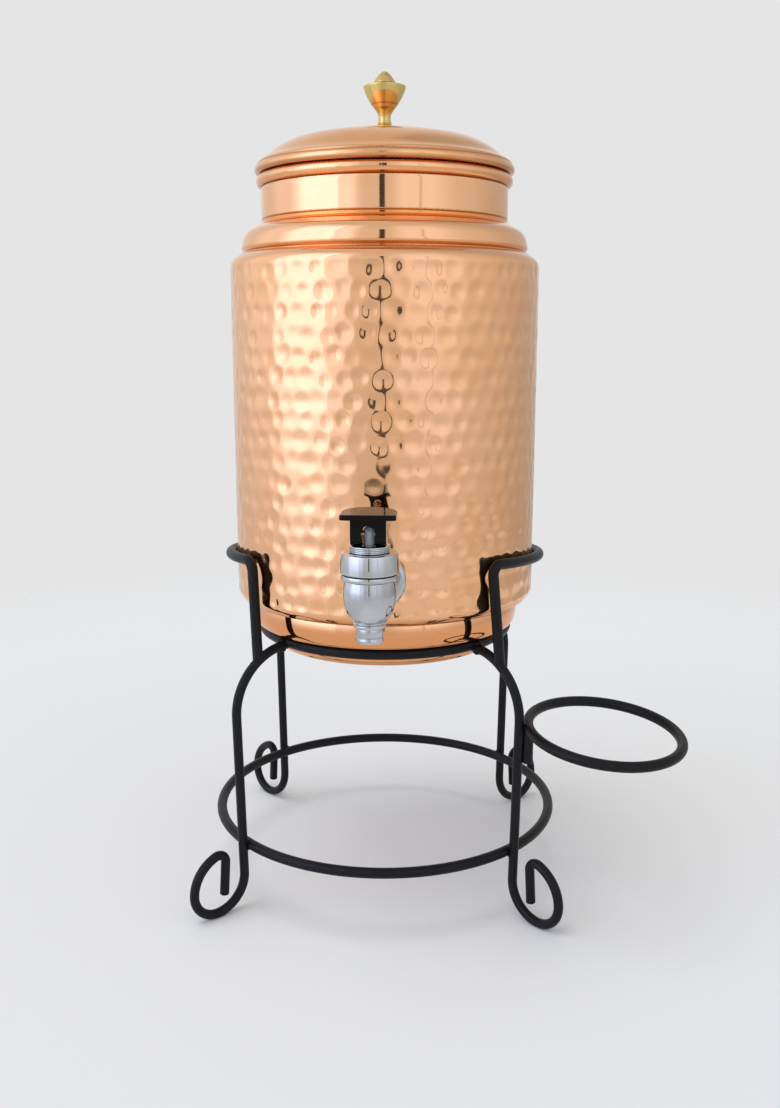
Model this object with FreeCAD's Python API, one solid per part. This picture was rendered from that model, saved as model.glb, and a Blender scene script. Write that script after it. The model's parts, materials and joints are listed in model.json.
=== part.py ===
import FreeCAD, Part
import math
import os

# Copper water dispenser on a bent rod stand. Millimetres, Z up, floor at Z = 0.
# The stand's axis is the Z axis, and the tap faces -Y.
# An azimuth is counted from -Y towards +X, in degrees.

# Rods of the stand
RING_ROD = 6.0
LEG_ROD = 5.4
WELD_SINK = 1.5
FOOT_FLAT = 0.4

# Seat ring, which carries the pot
SEAT_RING_R = 74.9
SEAT_RING_Z = 155.7

# Legs, from the seat ring down to the scroll at the foot
FRONT_LEG_AZIMUTH = 46.5
BACK_LEG_AZIMUTH = 134.5
LEG_OUT = 35.4
LEG_TOP_DROP = 1.5
LEG_TOP_SLOPE = 1.0
LEG_LEAN = 1.4
SCROLL_HEEL_R = 19.2
SCROLL_TOE_R = 14.5
SCROLL_BACK_R = 21.5
SCROLL_BACK_TURN = 72.0
SCROLL_HOOK_R = 4.8
SCROLL_HOOK_TURN = 112.0
SCROLL_TAIL = 20.0
ROD_END_ROUND = 0.8

# Foot ring, inside the legs
FOOT_RING_Z = 38.7

# Guard hoop round the pot, lower at the back, with two posts that stand on the front legs
GUARD_CLEARANCE = 1.0
GUARD_RISE = 44.5
GUARD_TILT = 5.0
GUARD_AZIMUTH = 50.0
GUARD_TURN = -3.5
GUARD_BEND_RUN = 6.5
POST_FOOT_OUT = 1.0
POST_FOOT_RISE = 1.0

# Ring that holds a drinking glass, on a short post beside the front right leg
GLASS_RING_R = 43.0
GLASS_RING_Z = 111.8
GLASS_RING_SIDE = 4.0
GLASS_RING_TILT = 6.2
GLASS_RING_TILT_SIDE = 139.0
GLASS_POST_BOTTOM_Z = 93.6
GLASS_POST_SINK = 0.3

# Pot: sheet, hammered wall, smooth band and base
SHEET = 0.9
POT_REST_GAP = 0.2
WALL_R = 90.0
WALL_HEIGHT = 201.4
WALL_TOP_IN = 6.0
WALL_TOP_FALL = 4.3
WALL_TOP_ROUND = 7.0
WALL_TOP_CREASE = 1.5
WALL_FOOT_IN = 7.2
WALL_FOOT_RISE = 11.0
WALL_FOOT_ROUND = 20.0
WALL_LIP_ROUND = 5.0
BAND_R = 81.0
BAND_HEIGHT = 16.0
BAND_CORNER = 1.5
BASE_GAP = 1.2
BASE_DROP = 12.4
BASE_ROUND = 6.0
SEAM_LAP = 1.8

# Shoulder, neck and rolled rim
SHOULDER_R = 83.2
SHOULDER_FOOT = 1.0
SHOULDER_FOOT_ROUND = 6.0
SHOULDER_IN = 1.7
SHOULDER_RISE = 11.4
SHOULDER_ROUND = 9.0
NECK_R = 71.4
NECK_FOOT_RISE = 6.0
NECK_FOOT_ROUND = 3.0
NECK_HEIGHT = 26.3
RIM_BULGE = 2.7
RIM_HEIGHT = 6.6
RIM_BELLY = 3.2

# Lid
LID_REST_GAP = 0.3
LID_OVERHANG = 3.4
LID_BEAD_R = 2.6
LID_RISE = 20.4
LID_CROWN_R = 160.0
LID_CROWN_FLAT = 2.9
LID_CROWN_SLOPE = 11.5
LID_KNUCKLE_R = 36.0
LID_KNUCKLE_IN = 15.7
LID_FLARE_R = 12.0
LID_FLARE_IN = 5.3
LID_FLARE_DROP = 17.6
SKIRT_CLEARANCE = 1.0
SKIRT_DEPTH = 13.0

# Knob on the lid: radius, height above its foot and rounding of each corner, from below
KNOB_CORNERS = [
    (6.4, 0.0, 0.0),
    (6.4, 0.9, 0.3),
    (3.5, 4.0, 2.8),
    (3.5, 8.0, 3.0),
    (7.7, 13.0, 1.2),
    (11.6, 19.6, 6.0),
    (12.2, 22.6, 0.7),
    (6.8, 25.0, 1.0),
    (1.9, 30.0, 1.8),
]
KNOB_HEIGHT = 31.1
KNOB_WASHER_R = 10.5
KNOB_WASHER_T = 0.7
SCREW_R = 2.0
SCREW_CLEARANCE = 0.1
SCREW_REACH = 9.0
SCREW_HEAD_R = 4.0
SCREW_HEAD_T = 2.6
SCREW_WASHER_R = 6.5
SCREW_WASHER_T = 1.0

# Tap: where it stands, and its pieces from the nozzle up
TAP_RISE = 27.4
TAP_REACH = 38.0
FIT_GAP = 0.1
SLIDE_GAP = 0.05
SHANK_R = 8.0
SHANK_BORE_R = 5.0
SHANK_TAIL = 22.0
WALL_HOLE_GAP = 0.6
FLANGE_R = 17.0
FLANGE_T = 3.6
FLANGE_ROUND = 2.4
COLLAR_R = 10.5
COLLAR_T = 3.5
GASKET_R = 13.0
GASKET_T = 1.5
INNER_GASKET_T = 2.0
LOCK_NUT_ACROSS = 24.0
LOCK_NUT_T = 6.0
NOZZLE_BOTTOM = -24.0
NOZZLE_LIP_R = 7.2
NOZZLE_LIP_T = 3.0
NOZZLE_R = 6.9
NOZZLE_T = 4.9
NOZZLE_BEAD_R = 8.45
NOZZLE_BEAD_T = 3.1
NOZZLE_BORE_R = 4.8
BOWL_R = 13.7
BOWL_TURN_Z = -4.5
BOWL_ROUND = 25.0
BOWL_NECK_R = 12.6
BOWL_TOP = 8.6
BODY_RIM_R = 14.6
BODY_RIM_T = 3.5
SEAT_Z = -8.5
CHAMBER_R = 9.5
SPIGOT_R = 11.5
SPIGOT_T = 6.0
BONNET_R = 15.0
BONNET_TOP_R = 14.4
BONNET_T = 10.6
BONNET_ROUND = 1.2
BONNET_ROOF = 3.6
BONNET_SEAL_T = 0.5
GUIDE_R = 10.4
GUIDE_T = 3.9
GUIDE_GROOVE = 0.45
GUIDE_GROOVE_COUNT = 2
GUIDE_SPIGOT_R = 6.4
GUIDE_SPIGOT_T = 5.0
STEM_SEAL_R = 4.6
STEM_SEAL_T = 1.6
STEM_R = 3.0
STEM_ABOVE_PIVOT = 4.0
STEM_IN_PLUG = 3.5
PLUG_R = 7.0
PLUG_T = 5.0
SPRING_WIRE = 1.0
SPRING_MEAN_R = 4.8
SPRING_TURNS = 6

# Lever: a fork that rocks on the guide, under a thumb plate
HEEL_R = 5.0
HEEL_AHEAD = 4.5
HEEL_GAP = 0.15
FORK_W = 17.8
FORK_SLOT_GAP = 0.4
FORK_BEHIND = 4.5
FORK_CORNER = 1.5
SLOT_ABOVE_STEM = 1.5
LEVER_PIN_R = 1.5
LEVER_PIN_INSET = 0.4
PLATE_W = 28.0
PLATE_AHEAD = 14.0
PLATE_T = 2.6
PLATE_ABOVE_PIVOT = 8.8
PLATE_CORNER = 2.5
PLATE_EDGE = 0.9


def at(azimuth, radius, z):
    angle = math.radians(azimuth)
    return FreeCAD.Vector(radius * math.sin(angle), -radius * math.cos(angle), z)


def flat(radius, z):
    return FreeCAD.Vector(radius, 0, z)


def rounded_edges(points, radii):
    """Straight runs through the points; each inner corner is an arc of its own radius."""
    edges = []
    start = points[0]
    for before, corner, after, radius in zip(points, points[1:], points[2:], radii):
        way_in = (corner - before).normalize()
        way_out = (after - corner).normalize()
        turn = way_in.getAngle(way_out)
        if radius == 0 or turn < 1e-6:
            edges.append(Part.LineSegment(start, corner).toShape())
            start = corner
            continue
        reach = radius * math.tan(turn / 2)
        first = corner - way_in * reach
        last = corner + way_out * reach
        inward = (way_out - way_in).normalize()
        middle = corner + inward * (radius / math.cos(turn / 2) - radius)
        if (first - start).Length > 1e-6:
            edges.append(Part.LineSegment(start, first).toShape())
        edges.append(Part.Arc(first, middle, last).toShape())
        start = last
    if (points[-1] - start).Length > 1e-6:
        edges.append(Part.LineSegment(start, points[-1]).toShape())
    return edges


def inner_line(points, radii, thickness):
    """The same line moved to its left by the sheet's thickness, with its corner radii."""
    ways = [(b - a).normalize() for a, b in zip(points, points[1:])]
    lefts = [FreeCAD.Vector(-way.z, 0, way.x) for way in ways]
    moved = [points[0] + lefts[0] * thickness]
    moved_radii = []
    for i in range(1, len(points) - 1):
        both = lefts[i - 1] + lefts[i]
        moved.append(points[i] + both * (thickness / (1 + lefts[i - 1].dot(lefts[i]))))
        turns_left = ways[i].dot(lefts[i - 1]) > 0
        moved_radii.append(max(radii[i - 1] + (-thickness if turns_left else thickness), 0.1))
    moved.append(points[-1] + lefts[-1] * thickness)
    return moved, moved_radii


def outline_face(edges):
    """The face inside a closed outline in the XZ plane."""
    return Part.Face(Part.Wire(Part.__sortEdges__(edges)))


def joined_face(one, other):
    """Two overlapping faces made into one."""
    return one.fuse(other).removeSplitter().Faces[0]


def spin(face):
    """A solid of revolution about Z from a face in the XZ plane, turned so that it faces -Y."""
    if face.normalAt(0, 0).y > 0:
        face.reverse()
    return face.revolve(FreeCAD.Vector(0, 0, 0), FreeCAD.Vector(0, 0, 1), 360)


def closed_spin(points, radii):
    """A solid of revolution from corner points; the first and last corners stay sharp."""
    edges = rounded_edges(points, radii)
    edges.append(Part.LineSegment(points[-1], points[0]).toShape())
    return spin(outline_face(edges))


def sheet_face(points, radii):
    """Cut face of sheet metal. The points are its outer side, from below upwards."""
    inner, inner_radii = inner_line(points, radii, SHEET)
    edges = rounded_edges(points, radii)
    edges += rounded_edges(inner, inner_radii)
    edges.append(Part.LineSegment(points[0], inner[0]).toShape())
    edges.append(Part.LineSegment(points[-1], inner[-1]).toShape())
    return outline_face(edges)


def rod_along(edges, diameter):
    """A round rod along a path of lines and arcs."""
    path = Part.Wire(Part.__sortEdges__(edges))
    start = path.OrderedEdges[0]
    point = start.valueAt(start.FirstParameter)
    way = start.tangentAt(start.FirstParameter)
    section = Part.Wire(Part.makeCircle(diameter / 2, point, way))
    return path.makePipeShell([section], True, False)


def bent_path(start, heading, moves):
    """Lines and arcs in the XZ plane: a move is (length,) or (radius, degrees to the left)."""
    edges = []
    point = start
    angle = math.radians(heading)
    for move in moves:
        if len(move) == 1:
            end = point + flat(math.cos(angle), math.sin(angle)) * move[0]
            edges.append(Part.LineSegment(point, end).toShape())
            point = end
            continue
        radius, degrees = move
        side = 1 if degrees > 0 else -1
        left = flat(-math.sin(angle), math.cos(angle))
        centre = point + left * (radius * side)
        ends = []
        for share in (0.5, 1.0):
            turned = angle + math.radians(degrees) * share
            ends.append(centre - flat(-math.sin(turned), math.cos(turned)) * (radius * side))
        edges.append(Part.Arc(point, ends[0], ends[1]).toShape())
        point = ends[1]
        angle += math.radians(degrees)
    return edges


def turned(shape, azimuth):
    """A shape drawn along +X, set to its azimuth."""
    copy = shape.copy()
    copy.rotate(FreeCAD.Vector(0, 0, 0), FreeCAD.Vector(0, 0, 1), azimuth - 90)
    return copy


def upright(radius, z_low, z_high, x=0.0, y=0.0):
    return Part.makeCylinder(radius, z_high - z_low, FreeCAD.Vector(x, y, z_low))


def outward(radius, y_near, y_far):
    """A cylinder on the tap's level axis, from y_near out towards -Y."""
    start = FreeCAD.Vector(0, y_near, tap_z)
    return Part.makeCylinder(radius, y_near - y_far, start, FreeCAD.Vector(0, -1, 0))


# Leg line: derived places
leg_lean = math.radians(LEG_LEAN)
leg_slope = math.radians(LEG_TOP_SLOPE)
leg_top_z = SEAT_RING_Z - LEG_TOP_DROP
leg_r = SEAT_RING_R + LEG_OUT
leg_shoulder_r = LEG_OUT / (math.cos(leg_lean) - math.sin(leg_slope))
leg_bend_centre_r = SEAT_RING_R - leg_shoulder_r * math.sin(leg_slope)
leg_bend_centre_z = leg_top_z - leg_shoulder_r * math.cos(leg_slope)
leg_bend_end_z = leg_bend_centre_z - leg_shoulder_r * math.sin(leg_lean)
foot_line_z = LEG_ROD / 2 - FOOT_FLAT
leg_run_end_z = foot_line_z + SCROLL_HEEL_R * (1 + math.sin(leg_lean))
leg_run = (leg_bend_end_z - leg_run_end_z) / math.cos(leg_lean)


def leg_r_at(z):
    return leg_r - (leg_bend_end_z - z) * math.tan(leg_lean)


foot_ring_r = leg_r_at(FOOT_RING_Z) - LEG_ROD / 2 - RING_ROD / 2 + WELD_SINK

# Guard hoop and lid: derived places
guard_r = WALL_R + GUARD_CLEARANCE + RING_ROD / 2
guard_z = SEAT_RING_Z + GUARD_RISE
post_foot_r = guard_r + POST_FOOT_OUT
lid_rim_r = NECK_R + LID_OVERHANG

# Pot: derived heights
pot_z = SEAT_RING_Z + RING_ROD / 2 + POT_REST_GAP
base_r = SEAT_RING_R - RING_ROD / 2 - BASE_GAP
wall_z = pot_z + BAND_HEIGHT
wall_top_z = wall_z + WALL_HEIGHT
shoulder_top_z = wall_top_z + SHOULDER_RISE
neck_z = shoulder_top_z + NECK_FOOT_RISE
rim_top_z = neck_z + NECK_HEIGHT
neck_inner_r = NECK_R - SHEET

# Lid: derived heights
lid_bead_z = rim_top_z + LID_REST_GAP + LID_BEAD_R
lid_flange_z = lid_bead_z + LID_BEAD_R
lid_top_z = lid_flange_z + LID_RISE

# Tap: derived places
tap_y = -(WALL_R + TAP_REACH)
tap_z = wall_z + TAP_RISE
nozzle_z = tap_z + NOZZLE_BOTTOM
body_rim_z = tap_z + BOWL_TOP
bonnet_z = body_rim_z + BODY_RIM_T
bonnet_top_z = bonnet_z + BONNET_T
guide_top_z = bonnet_top_z + GUIDE_T
guide_foot_z = bonnet_top_z - GUIDE_SPIGOT_T
spigot_top_z = bonnet_z + SPIGOT_T
seat_z = tap_z + SEAT_Z
plug_top_z = seat_z + PLUG_T
pivot_z = guide_top_z + HEEL_GAP + HEEL_R
stem_top_z = pivot_z + STEM_ABOVE_PIVOT
plate_z = pivot_z + PLATE_ABOVE_PIVOT


def seat_ring():
    return Part.makeTorus(SEAT_RING_R, RING_ROD / 2, flat(0, SEAT_RING_Z))


def foot_ring():
    return Part.makeTorus(foot_ring_r, RING_ROD / 2, flat(0, FOOT_RING_Z))


def leg(azimuth):
    """Rod from the seat ring over a round shoulder, down, and out into a scroll foot."""
    edges = bent_path(flat(SEAT_RING_R, leg_top_z), -LEG_TOP_SLOPE, [
        (leg_shoulder_r, -(90 + LEG_LEAN - LEG_TOP_SLOPE)),
        (leg_run,),
        (SCROLL_HEEL_R, 90 + LEG_LEAN),
        (SCROLL_TOE_R, 90),
        (SCROLL_BACK_R, SCROLL_BACK_TURN),
        (SCROLL_HOOK_R, SCROLL_HOOK_TURN),
        (SCROLL_TAIL,),
    ])
    rod = rod_along(edges, LEG_ROD)
    tail = edges[-1].valueAt(edges[-1].LastParameter)
    ends = [e for e in rod.Edges if (e.BoundBox.Center - tail).Length < LEG_ROD / 4]
    rod = rod.makeFillet(ROD_END_ROUND, ends)
    reach = 2 * leg_r
    ground = Part.makeBox(2 * reach, 2 * reach, LEG_ROD, FreeCAD.Vector(-reach, -reach, -LEG_ROD))
    rod = turned(rod.cut(ground), azimuth)
    return rod.cut(seat_ring()).cut(foot_ring())


def post_foot(azimuth):
    """The point on a front leg's shoulder that a guard post stands on."""
    across = post_foot_r - leg_bend_centre_r
    z = leg_bend_centre_z + math.sqrt(leg_shoulder_r ** 2 - across ** 2)
    return at(azimuth, post_foot_r, z + POST_FOOT_RISE)


def on_guard(azimuth, radius):
    """A point from the middle of the guard's tilted plane."""
    level = at(azimuth, radius, 0)
    tilt = math.radians(GUARD_TILT)
    return FreeCAD.Vector(level.x, level.y * math.cos(tilt), -level.y * math.sin(tilt))


def guard_hoop(legs):
    """One rod: a post, a hoop round the back of the pot, and the other post."""
    centre = flat(0, guard_z)
    edges = []
    hoop_ends = []
    for side in (1, -1):
        azimuth = side * GUARD_AZIMUTH + GUARD_TURN
        hoop_end = centre + on_guard(azimuth, guard_r)
        along = on_guard(azimuth + side * 90, 1)
        corner = hoop_end - along * GUARD_BEND_RUN
        foot = post_foot(side * FRONT_LEG_AZIMUTH)
        turn = (corner - foot).getAngle(along)
        edges += rounded_edges([foot, corner, hoop_end], [GUARD_BEND_RUN / math.tan(turn / 2)])
        hoop_ends.append(hoop_end)
    back = centre + on_guard(180 + GUARD_TURN, guard_r)
    edges.append(Part.Arc(hoop_ends[0], back, hoop_ends[1]).toShape())
    rod = rod_along(edges, RING_ROD)
    for leg_shape in legs:
        rod = rod.cut(leg_shape)
    return rod


def glass_post_place():
    """Centre line of the short post that stands beside the front right leg."""
    z = (GLASS_POST_BOTTOM_Z + GLASS_RING_Z) / 2
    beside = (LEG_ROD + RING_ROD) / 2 - GLASS_POST_SINK
    side = at(90 + GLASS_RING_SIDE, beside, 0)
    return at(FRONT_LEG_AZIMUTH, leg_r_at(z), 0) + side


def glass_ring():
    centre = glass_post_place() + at(90 + GLASS_RING_SIDE, GLASS_RING_R, GLASS_RING_Z)
    tilt = math.radians(GLASS_RING_TILT)
    side = at(90 + GLASS_RING_TILT_SIDE, 1, 0)
    normal = FreeCAD.Vector(-side.x * math.sin(tilt), -side.y * math.sin(tilt), math.cos(tilt))
    return Part.makeTorus(GLASS_RING_R, RING_ROD / 2, centre, normal)


def glass_post(ring, leg_shape):
    """Post under the ring's near side, coped to the ring and to the leg."""
    place = glass_post_place()
    rise = GLASS_RING_R * math.sin(math.radians(GLASS_RING_TILT))
    post = upright(RING_ROD / 2, GLASS_POST_BOTTOM_Z, GLASS_RING_Z + rise, place.x, place.y)
    bottom = [e for e in post.Edges if e.BoundBox.ZMax < GLASS_POST_BOTTOM_Z + 0.01]
    post = post.makeFillet(ROD_END_ROUND, bottom)
    pieces = post.cut(ring).cut(leg_shape).Solids
    return max(pieces, key=lambda piece: piece.Volume)


def tank_wall():
    """Hammered wall, turned in at its foot and at its top, with a hole for the tap."""
    lip_r = BAND_R - SEAM_LAP
    top_lip_r = SHOULDER_R - SEAM_LAP
    points = [
        flat(lip_r, wall_z),
        flat(WALL_R - WALL_FOOT_IN, wall_z),
        flat(WALL_R, wall_z + WALL_FOOT_RISE),
        flat(WALL_R, wall_top_z - WALL_TOP_FALL),
        flat(WALL_R - WALL_TOP_IN, wall_top_z),
        flat(top_lip_r, wall_top_z),
    ]
    rounds = [WALL_LIP_ROUND, WALL_FOOT_ROUND, WALL_TOP_ROUND, WALL_TOP_CREASE]
    wall = spin(sheet_face(points, rounds))
    return wall.cut(outward(SHANK_R + WALL_HOLE_GAP, -WALL_R / 2, -WALL_R * 2))


def tank_base():
    """Smooth band, seat step and drawn base, in one sheet."""
    points = [
        flat(0, pot_z - BASE_DROP),
        flat(base_r, pot_z - BASE_DROP),
        flat(base_r, pot_z),
        flat(BAND_R, pot_z),
        flat(BAND_R, wall_z - FIT_GAP / 10),
    ]
    return spin(sheet_face(points, [BASE_ROUND, BAND_CORNER, BAND_CORNER + SHEET]))


def tank_shoulder():
    """Shoulder, neck and rolled rim, spun from one sheet."""
    points = [
        flat(SHOULDER_R, wall_top_z),
        flat(SHOULDER_R, wall_top_z + SHOULDER_FOOT),
        flat(SHOULDER_R - SHOULDER_IN, shoulder_top_z),
        flat(NECK_R, neck_z),
        flat(NECK_R, rim_top_z - RIM_HEIGHT / 2),
    ]
    sheet = sheet_face(points, [SHOULDER_FOOT_ROUND, SHOULDER_ROUND, NECK_FOOT_ROUND])
    rim_foot = flat(NECK_R, rim_top_z - RIM_HEIGHT)
    belly = flat(NECK_R + RIM_BULGE, rim_top_z - RIM_BELLY)
    crest = flat((NECK_R + neck_inner_r) / 2, rim_top_z)
    inside_top = flat(neck_inner_r, rim_top_z - SHEET)
    inside_foot = flat(neck_inner_r, rim_foot.z)
    rim = outline_face([
        Part.Arc(rim_foot, belly, crest).toShape(),
        Part.LineSegment(crest, inside_top).toShape(),
        Part.LineSegment(inside_top, inside_foot).toShape(),
        Part.LineSegment(inside_foot, rim_foot).toShape(),
    ])
    return spin(joined_face(sheet, rim))


def lid_line():
    """Outer line of the lid from the rim to the knob's hole, with its corner radii."""
    slope = math.radians(LID_CROWN_SLOPE)
    crown_corner = LID_CROWN_FLAT + LID_CROWN_R * math.tan(slope / 2)
    knuckle_corner = lid_rim_r - LID_KNUCKLE_IN
    knuckle_drop = (knuckle_corner - crown_corner) * math.tan(slope)
    points = [
        flat(lid_rim_r - LID_BEAD_R / 2, lid_flange_z),
        flat(lid_rim_r - LID_FLARE_IN, lid_top_z - LID_FLARE_DROP),
        flat(knuckle_corner, lid_top_z - knuckle_drop),
        flat(crown_corner, lid_top_z),
        flat(SCREW_R + SCREW_CLEARANCE, lid_top_z),
    ]
    return points, [LID_FLARE_R, LID_KNUCKLE_R, LID_CROWN_R]


def lid_dome():
    points, radii = lid_line()
    centre = flat(lid_rim_r - LID_BEAD_R, lid_bead_z)
    bead = Part.makeCircle(LID_BEAD_R, centre, FreeCAD.Vector(0, -1, 0))
    return spin(joined_face(sheet_face(points, radii), outline_face([bead])))


def lid_hollow():
    """The space under the lid's sheet, down past the skirt."""
    points, radii = lid_line()
    inner, inner_radii = inner_line(points, radii, SHEET)
    low_z = rim_top_z - 2 * SKIRT_DEPTH
    edges = rounded_edges(inner, inner_radii)
    corners = [inner[-1], flat(0, inner[-1].z), flat(0, low_z), flat(inner[0].x, low_z), inner[0]]
    edges += rounded_edges(corners, [0, 0, 0])
    return spin(outline_face(edges))


def lid_skirt():
    """Locating ring inside the neck, brazed to the underside of the lid."""
    skirt_r = neck_inner_r - SKIRT_CLEARANCE
    tube = upright(skirt_r, rim_top_z - SKIRT_DEPTH, lid_top_z)
    tube = tube.cut(upright(skirt_r - SHEET, rim_top_z - SKIRT_DEPTH - 1, lid_top_z + 1))
    return tube.common(lid_hollow())


def lid_knob():
    """Turned finial: a flared foot, a waist, a cup and a pointed crown."""
    foot_z = lid_top_z + KNOB_WASHER_T
    points = [flat(0, foot_z)]
    points += [flat(radius, foot_z + height) for radius, height, _ in KNOB_CORNERS]
    points.append(flat(0, foot_z + KNOB_HEIGHT))
    knob = closed_spin(points, [rounding for _, _, rounding in KNOB_CORNERS])
    return knob.cut(upright(SCREW_R + SLIDE_GAP, foot_z - 1, foot_z + SCREW_REACH))


def knob_washer():
    washer = upright(KNOB_WASHER_R, lid_top_z - 1, lid_top_z + KNOB_WASHER_T)
    washer = washer.cut(upright(SCREW_R + SCREW_CLEARANCE, lid_top_z - 2, lid_top_z + 2))
    points, radii = lid_line()
    edges = rounded_edges(points, radii)
    corners = [points[-1], flat(0, lid_top_z), flat(0, rim_top_z), flat(points[0].x, rim_top_z)]
    edges += rounded_edges(corners + [points[0]], [0, 0, 0])
    return washer.cut(spin(outline_face(edges)))


def knob_screw():
    under_z = lid_top_z - SHEET - SCREW_WASHER_T
    top_z = lid_top_z + KNOB_WASHER_T + SCREW_REACH - 1
    shaft = upright(SCREW_R, under_z - SCREW_HEAD_T, top_z)
    head = upright(SCREW_HEAD_R, under_z - SCREW_HEAD_T, under_z)
    slot = Part.makeBox(2 * SCREW_HEAD_R, 1.0, 1.0,
                        FreeCAD.Vector(-SCREW_HEAD_R, -0.5, under_z - SCREW_HEAD_T))
    return shaft.fuse(head).cut(slot).removeSplitter()


def screw_washer():
    top_z = lid_top_z - SHEET
    washer = upright(SCREW_WASHER_R, top_z - SCREW_WASHER_T, top_z + 1)
    washer = washer.cut(upright(SCREW_R + SCREW_CLEARANCE, top_z - 2, top_z + 2))
    return washer.common(lid_hollow())


def on_tap(shape):
    """A shape drawn about the Z axis, moved to the tap's own axis."""
    copy = shape.copy()
    copy.translate(FreeCAD.Vector(0, tap_y, 0))
    return copy


def tap_body():
    """Nozzle, bowl, rim and threaded spigot, with a level shank through the pot's wall."""
    lip_z = nozzle_z + NOZZLE_LIP_T
    bead_z = lip_z + NOZZLE_T
    bowl_z = bead_z + NOZZLE_BEAD_T
    bowl_top = body_rim_z - FIT_GAP
    outline = [
        flat(0, nozzle_z),
        flat(NOZZLE_LIP_R, nozzle_z),
        flat(NOZZLE_LIP_R, lip_z),
        flat(NOZZLE_R, lip_z),
        flat(NOZZLE_R, bead_z),
        flat(NOZZLE_BEAD_R, bead_z),
        flat(NOZZLE_BEAD_R, bowl_z),
        flat(BOWL_R, tap_z + BOWL_TURN_Z),
        flat(BOWL_R, bowl_top - 3),
        flat(BOWL_NECK_R, bowl_top),
        flat(BODY_RIM_R, bowl_top),
        flat(BODY_RIM_R, bonnet_z - FIT_GAP),
        flat(SPIGOT_R, bonnet_z - FIT_GAP),
        flat(SPIGOT_R, spigot_top_z),
        flat(0, spigot_top_z),
    ]
    rounds = [0.8, 0.8, 0.4, 0.4, 1.2, 0.4, BOWL_ROUND, 3.0, 0.3, 1.2, 1.2, 0, 0.4]
    body = on_tap(closed_spin(outline, rounds))
    shank_end = -(WALL_R - SHANK_TAIL)
    flange_face = -(WALL_R + GASKET_T + FLANGE_T)
    body = body.fuse(outward(SHANK_R, shank_end, tap_y))
    body = body.fuse(outward(COLLAR_R, flange_face - FIT_GAP, flange_face - FIT_GAP - COLLAR_T))
    chamber = on_tap(upright(CHAMBER_R, seat_z, spigot_top_z + 1))
    nozzle = on_tap(upright(NOZZLE_BORE_R, nozzle_z - 1, seat_z + 1))
    return body.cut(chamber).cut(nozzle).cut(outward(SHANK_BORE_R, shank_end + 1, tap_y))


def tap_flange():
    back = -(WALL_R + GASKET_T)
    disc = outward(FLANGE_R, back, back - FLANGE_T)
    front = [e for e in disc.Edges if e.BoundBox.YMax < back - FLANGE_T + 0.01]
    disc = disc.makeFillet(FLANGE_ROUND, front)
    return disc.cut(outward(SHANK_R + FIT_GAP, back + 1, back - 2 * FLANGE_T))


def outer_gasket():
    """Soft washer between the flange and the round wall."""
    ring = outward(GASKET_R, -WALL_R / 2, -(WALL_R + GASKET_T))
    ring = ring.cut(outward(SHANK_R + FIT_GAP, -WALL_R / 3, -WALL_R * 2))
    return ring.cut(upright(WALL_R, 0, wall_top_z))


def inner_gasket():
    """Soft washer on the wall's inside, which follows the wall's curve."""
    inner_r = WALL_R - SHEET
    ring = outward(GASKET_R, -(inner_r - INNER_GASKET_T), -WALL_R * 2)
    ring = ring.cut(outward(SHANK_R + FIT_GAP, -WALL_R / 3, -WALL_R * 3))
    return ring.common(upright(inner_r, 0, wall_top_z)).cut(tank_wall())


def lock_nut():
    far = -(WALL_R - SHEET - INNER_GASKET_T)
    corner_r = LOCK_NUT_ACROSS / 2 / math.cos(math.radians(30))
    corners = []
    for i in range(7):
        angle = math.radians(60 * i)
        corners.append(FreeCAD.Vector(corner_r * math.cos(angle), far,
                                      tap_z + corner_r * math.sin(angle)))
    nut = Part.Face(Part.makePolygon(corners)).extrude(FreeCAD.Vector(0, LOCK_NUT_T, 0))
    return nut.cut(outward(SHANK_R + FIT_GAP, far + 2 * LOCK_NUT_T, far - 1))


def tap_bonnet():
    """Cap that screws over the body's spigot."""
    outline = [
        flat(SPIGOT_R + SLIDE_GAP, bonnet_z),
        flat(BONNET_R, bonnet_z),
        flat(BONNET_R, bonnet_z + BONNET_T / 3),
        flat(BONNET_TOP_R, bonnet_top_z),
        flat(GUIDE_SPIGOT_R + SLIDE_GAP, bonnet_top_z),
        flat(GUIDE_SPIGOT_R + SLIDE_GAP, bonnet_top_z - BONNET_ROOF),
        flat(SPIGOT_R + SLIDE_GAP, bonnet_top_z - BONNET_ROOF),
    ]
    return on_tap(closed_spin(outline, [0.4, 12.0, BONNET_ROUND, 0.3, 0, 0]))


def bonnet_seal():
    """Ring that seals the spigot's top edge under the bonnet's roof."""
    roof_z = bonnet_top_z - BONNET_ROOF
    ring = upright(SPIGOT_R, spigot_top_z, roof_z)
    return on_tap(ring.cut(upright(CHAMBER_R, spigot_top_z - 1, roof_z + 1)))


def stem_guide():
    """Ridged nut in the bonnet's roof that the stem slides in."""
    top = upright(GUIDE_R, bonnet_top_z, guide_top_z)
    top = top.makeFillet(GUIDE_GROOVE, [e for e in top.Edges if e.BoundBox.ZMin > guide_top_z - 0.01])
    guide = top.fuse(upright(GUIDE_SPIGOT_R, guide_foot_z, bonnet_top_z))
    step = GUIDE_T / (GUIDE_GROOVE_COUNT + 1)
    for i in range(GUIDE_GROOVE_COUNT):
        groove_z = bonnet_top_z + step * (i + 1)
        guide = guide.cut(Part.makeTorus(GUIDE_R + GUIDE_GROOVE / 3, GUIDE_GROOVE, flat(0, groove_z)))
    guide = guide.cut(upright(STEM_R + SLIDE_GAP, guide_foot_z - 1, guide_top_z + 1))
    seal_z = guide_foot_z + STEM_SEAL_T
    return on_tap(guide.cut(upright(STEM_SEAL_R + SLIDE_GAP, guide_foot_z - 1, seal_z)))


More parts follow.
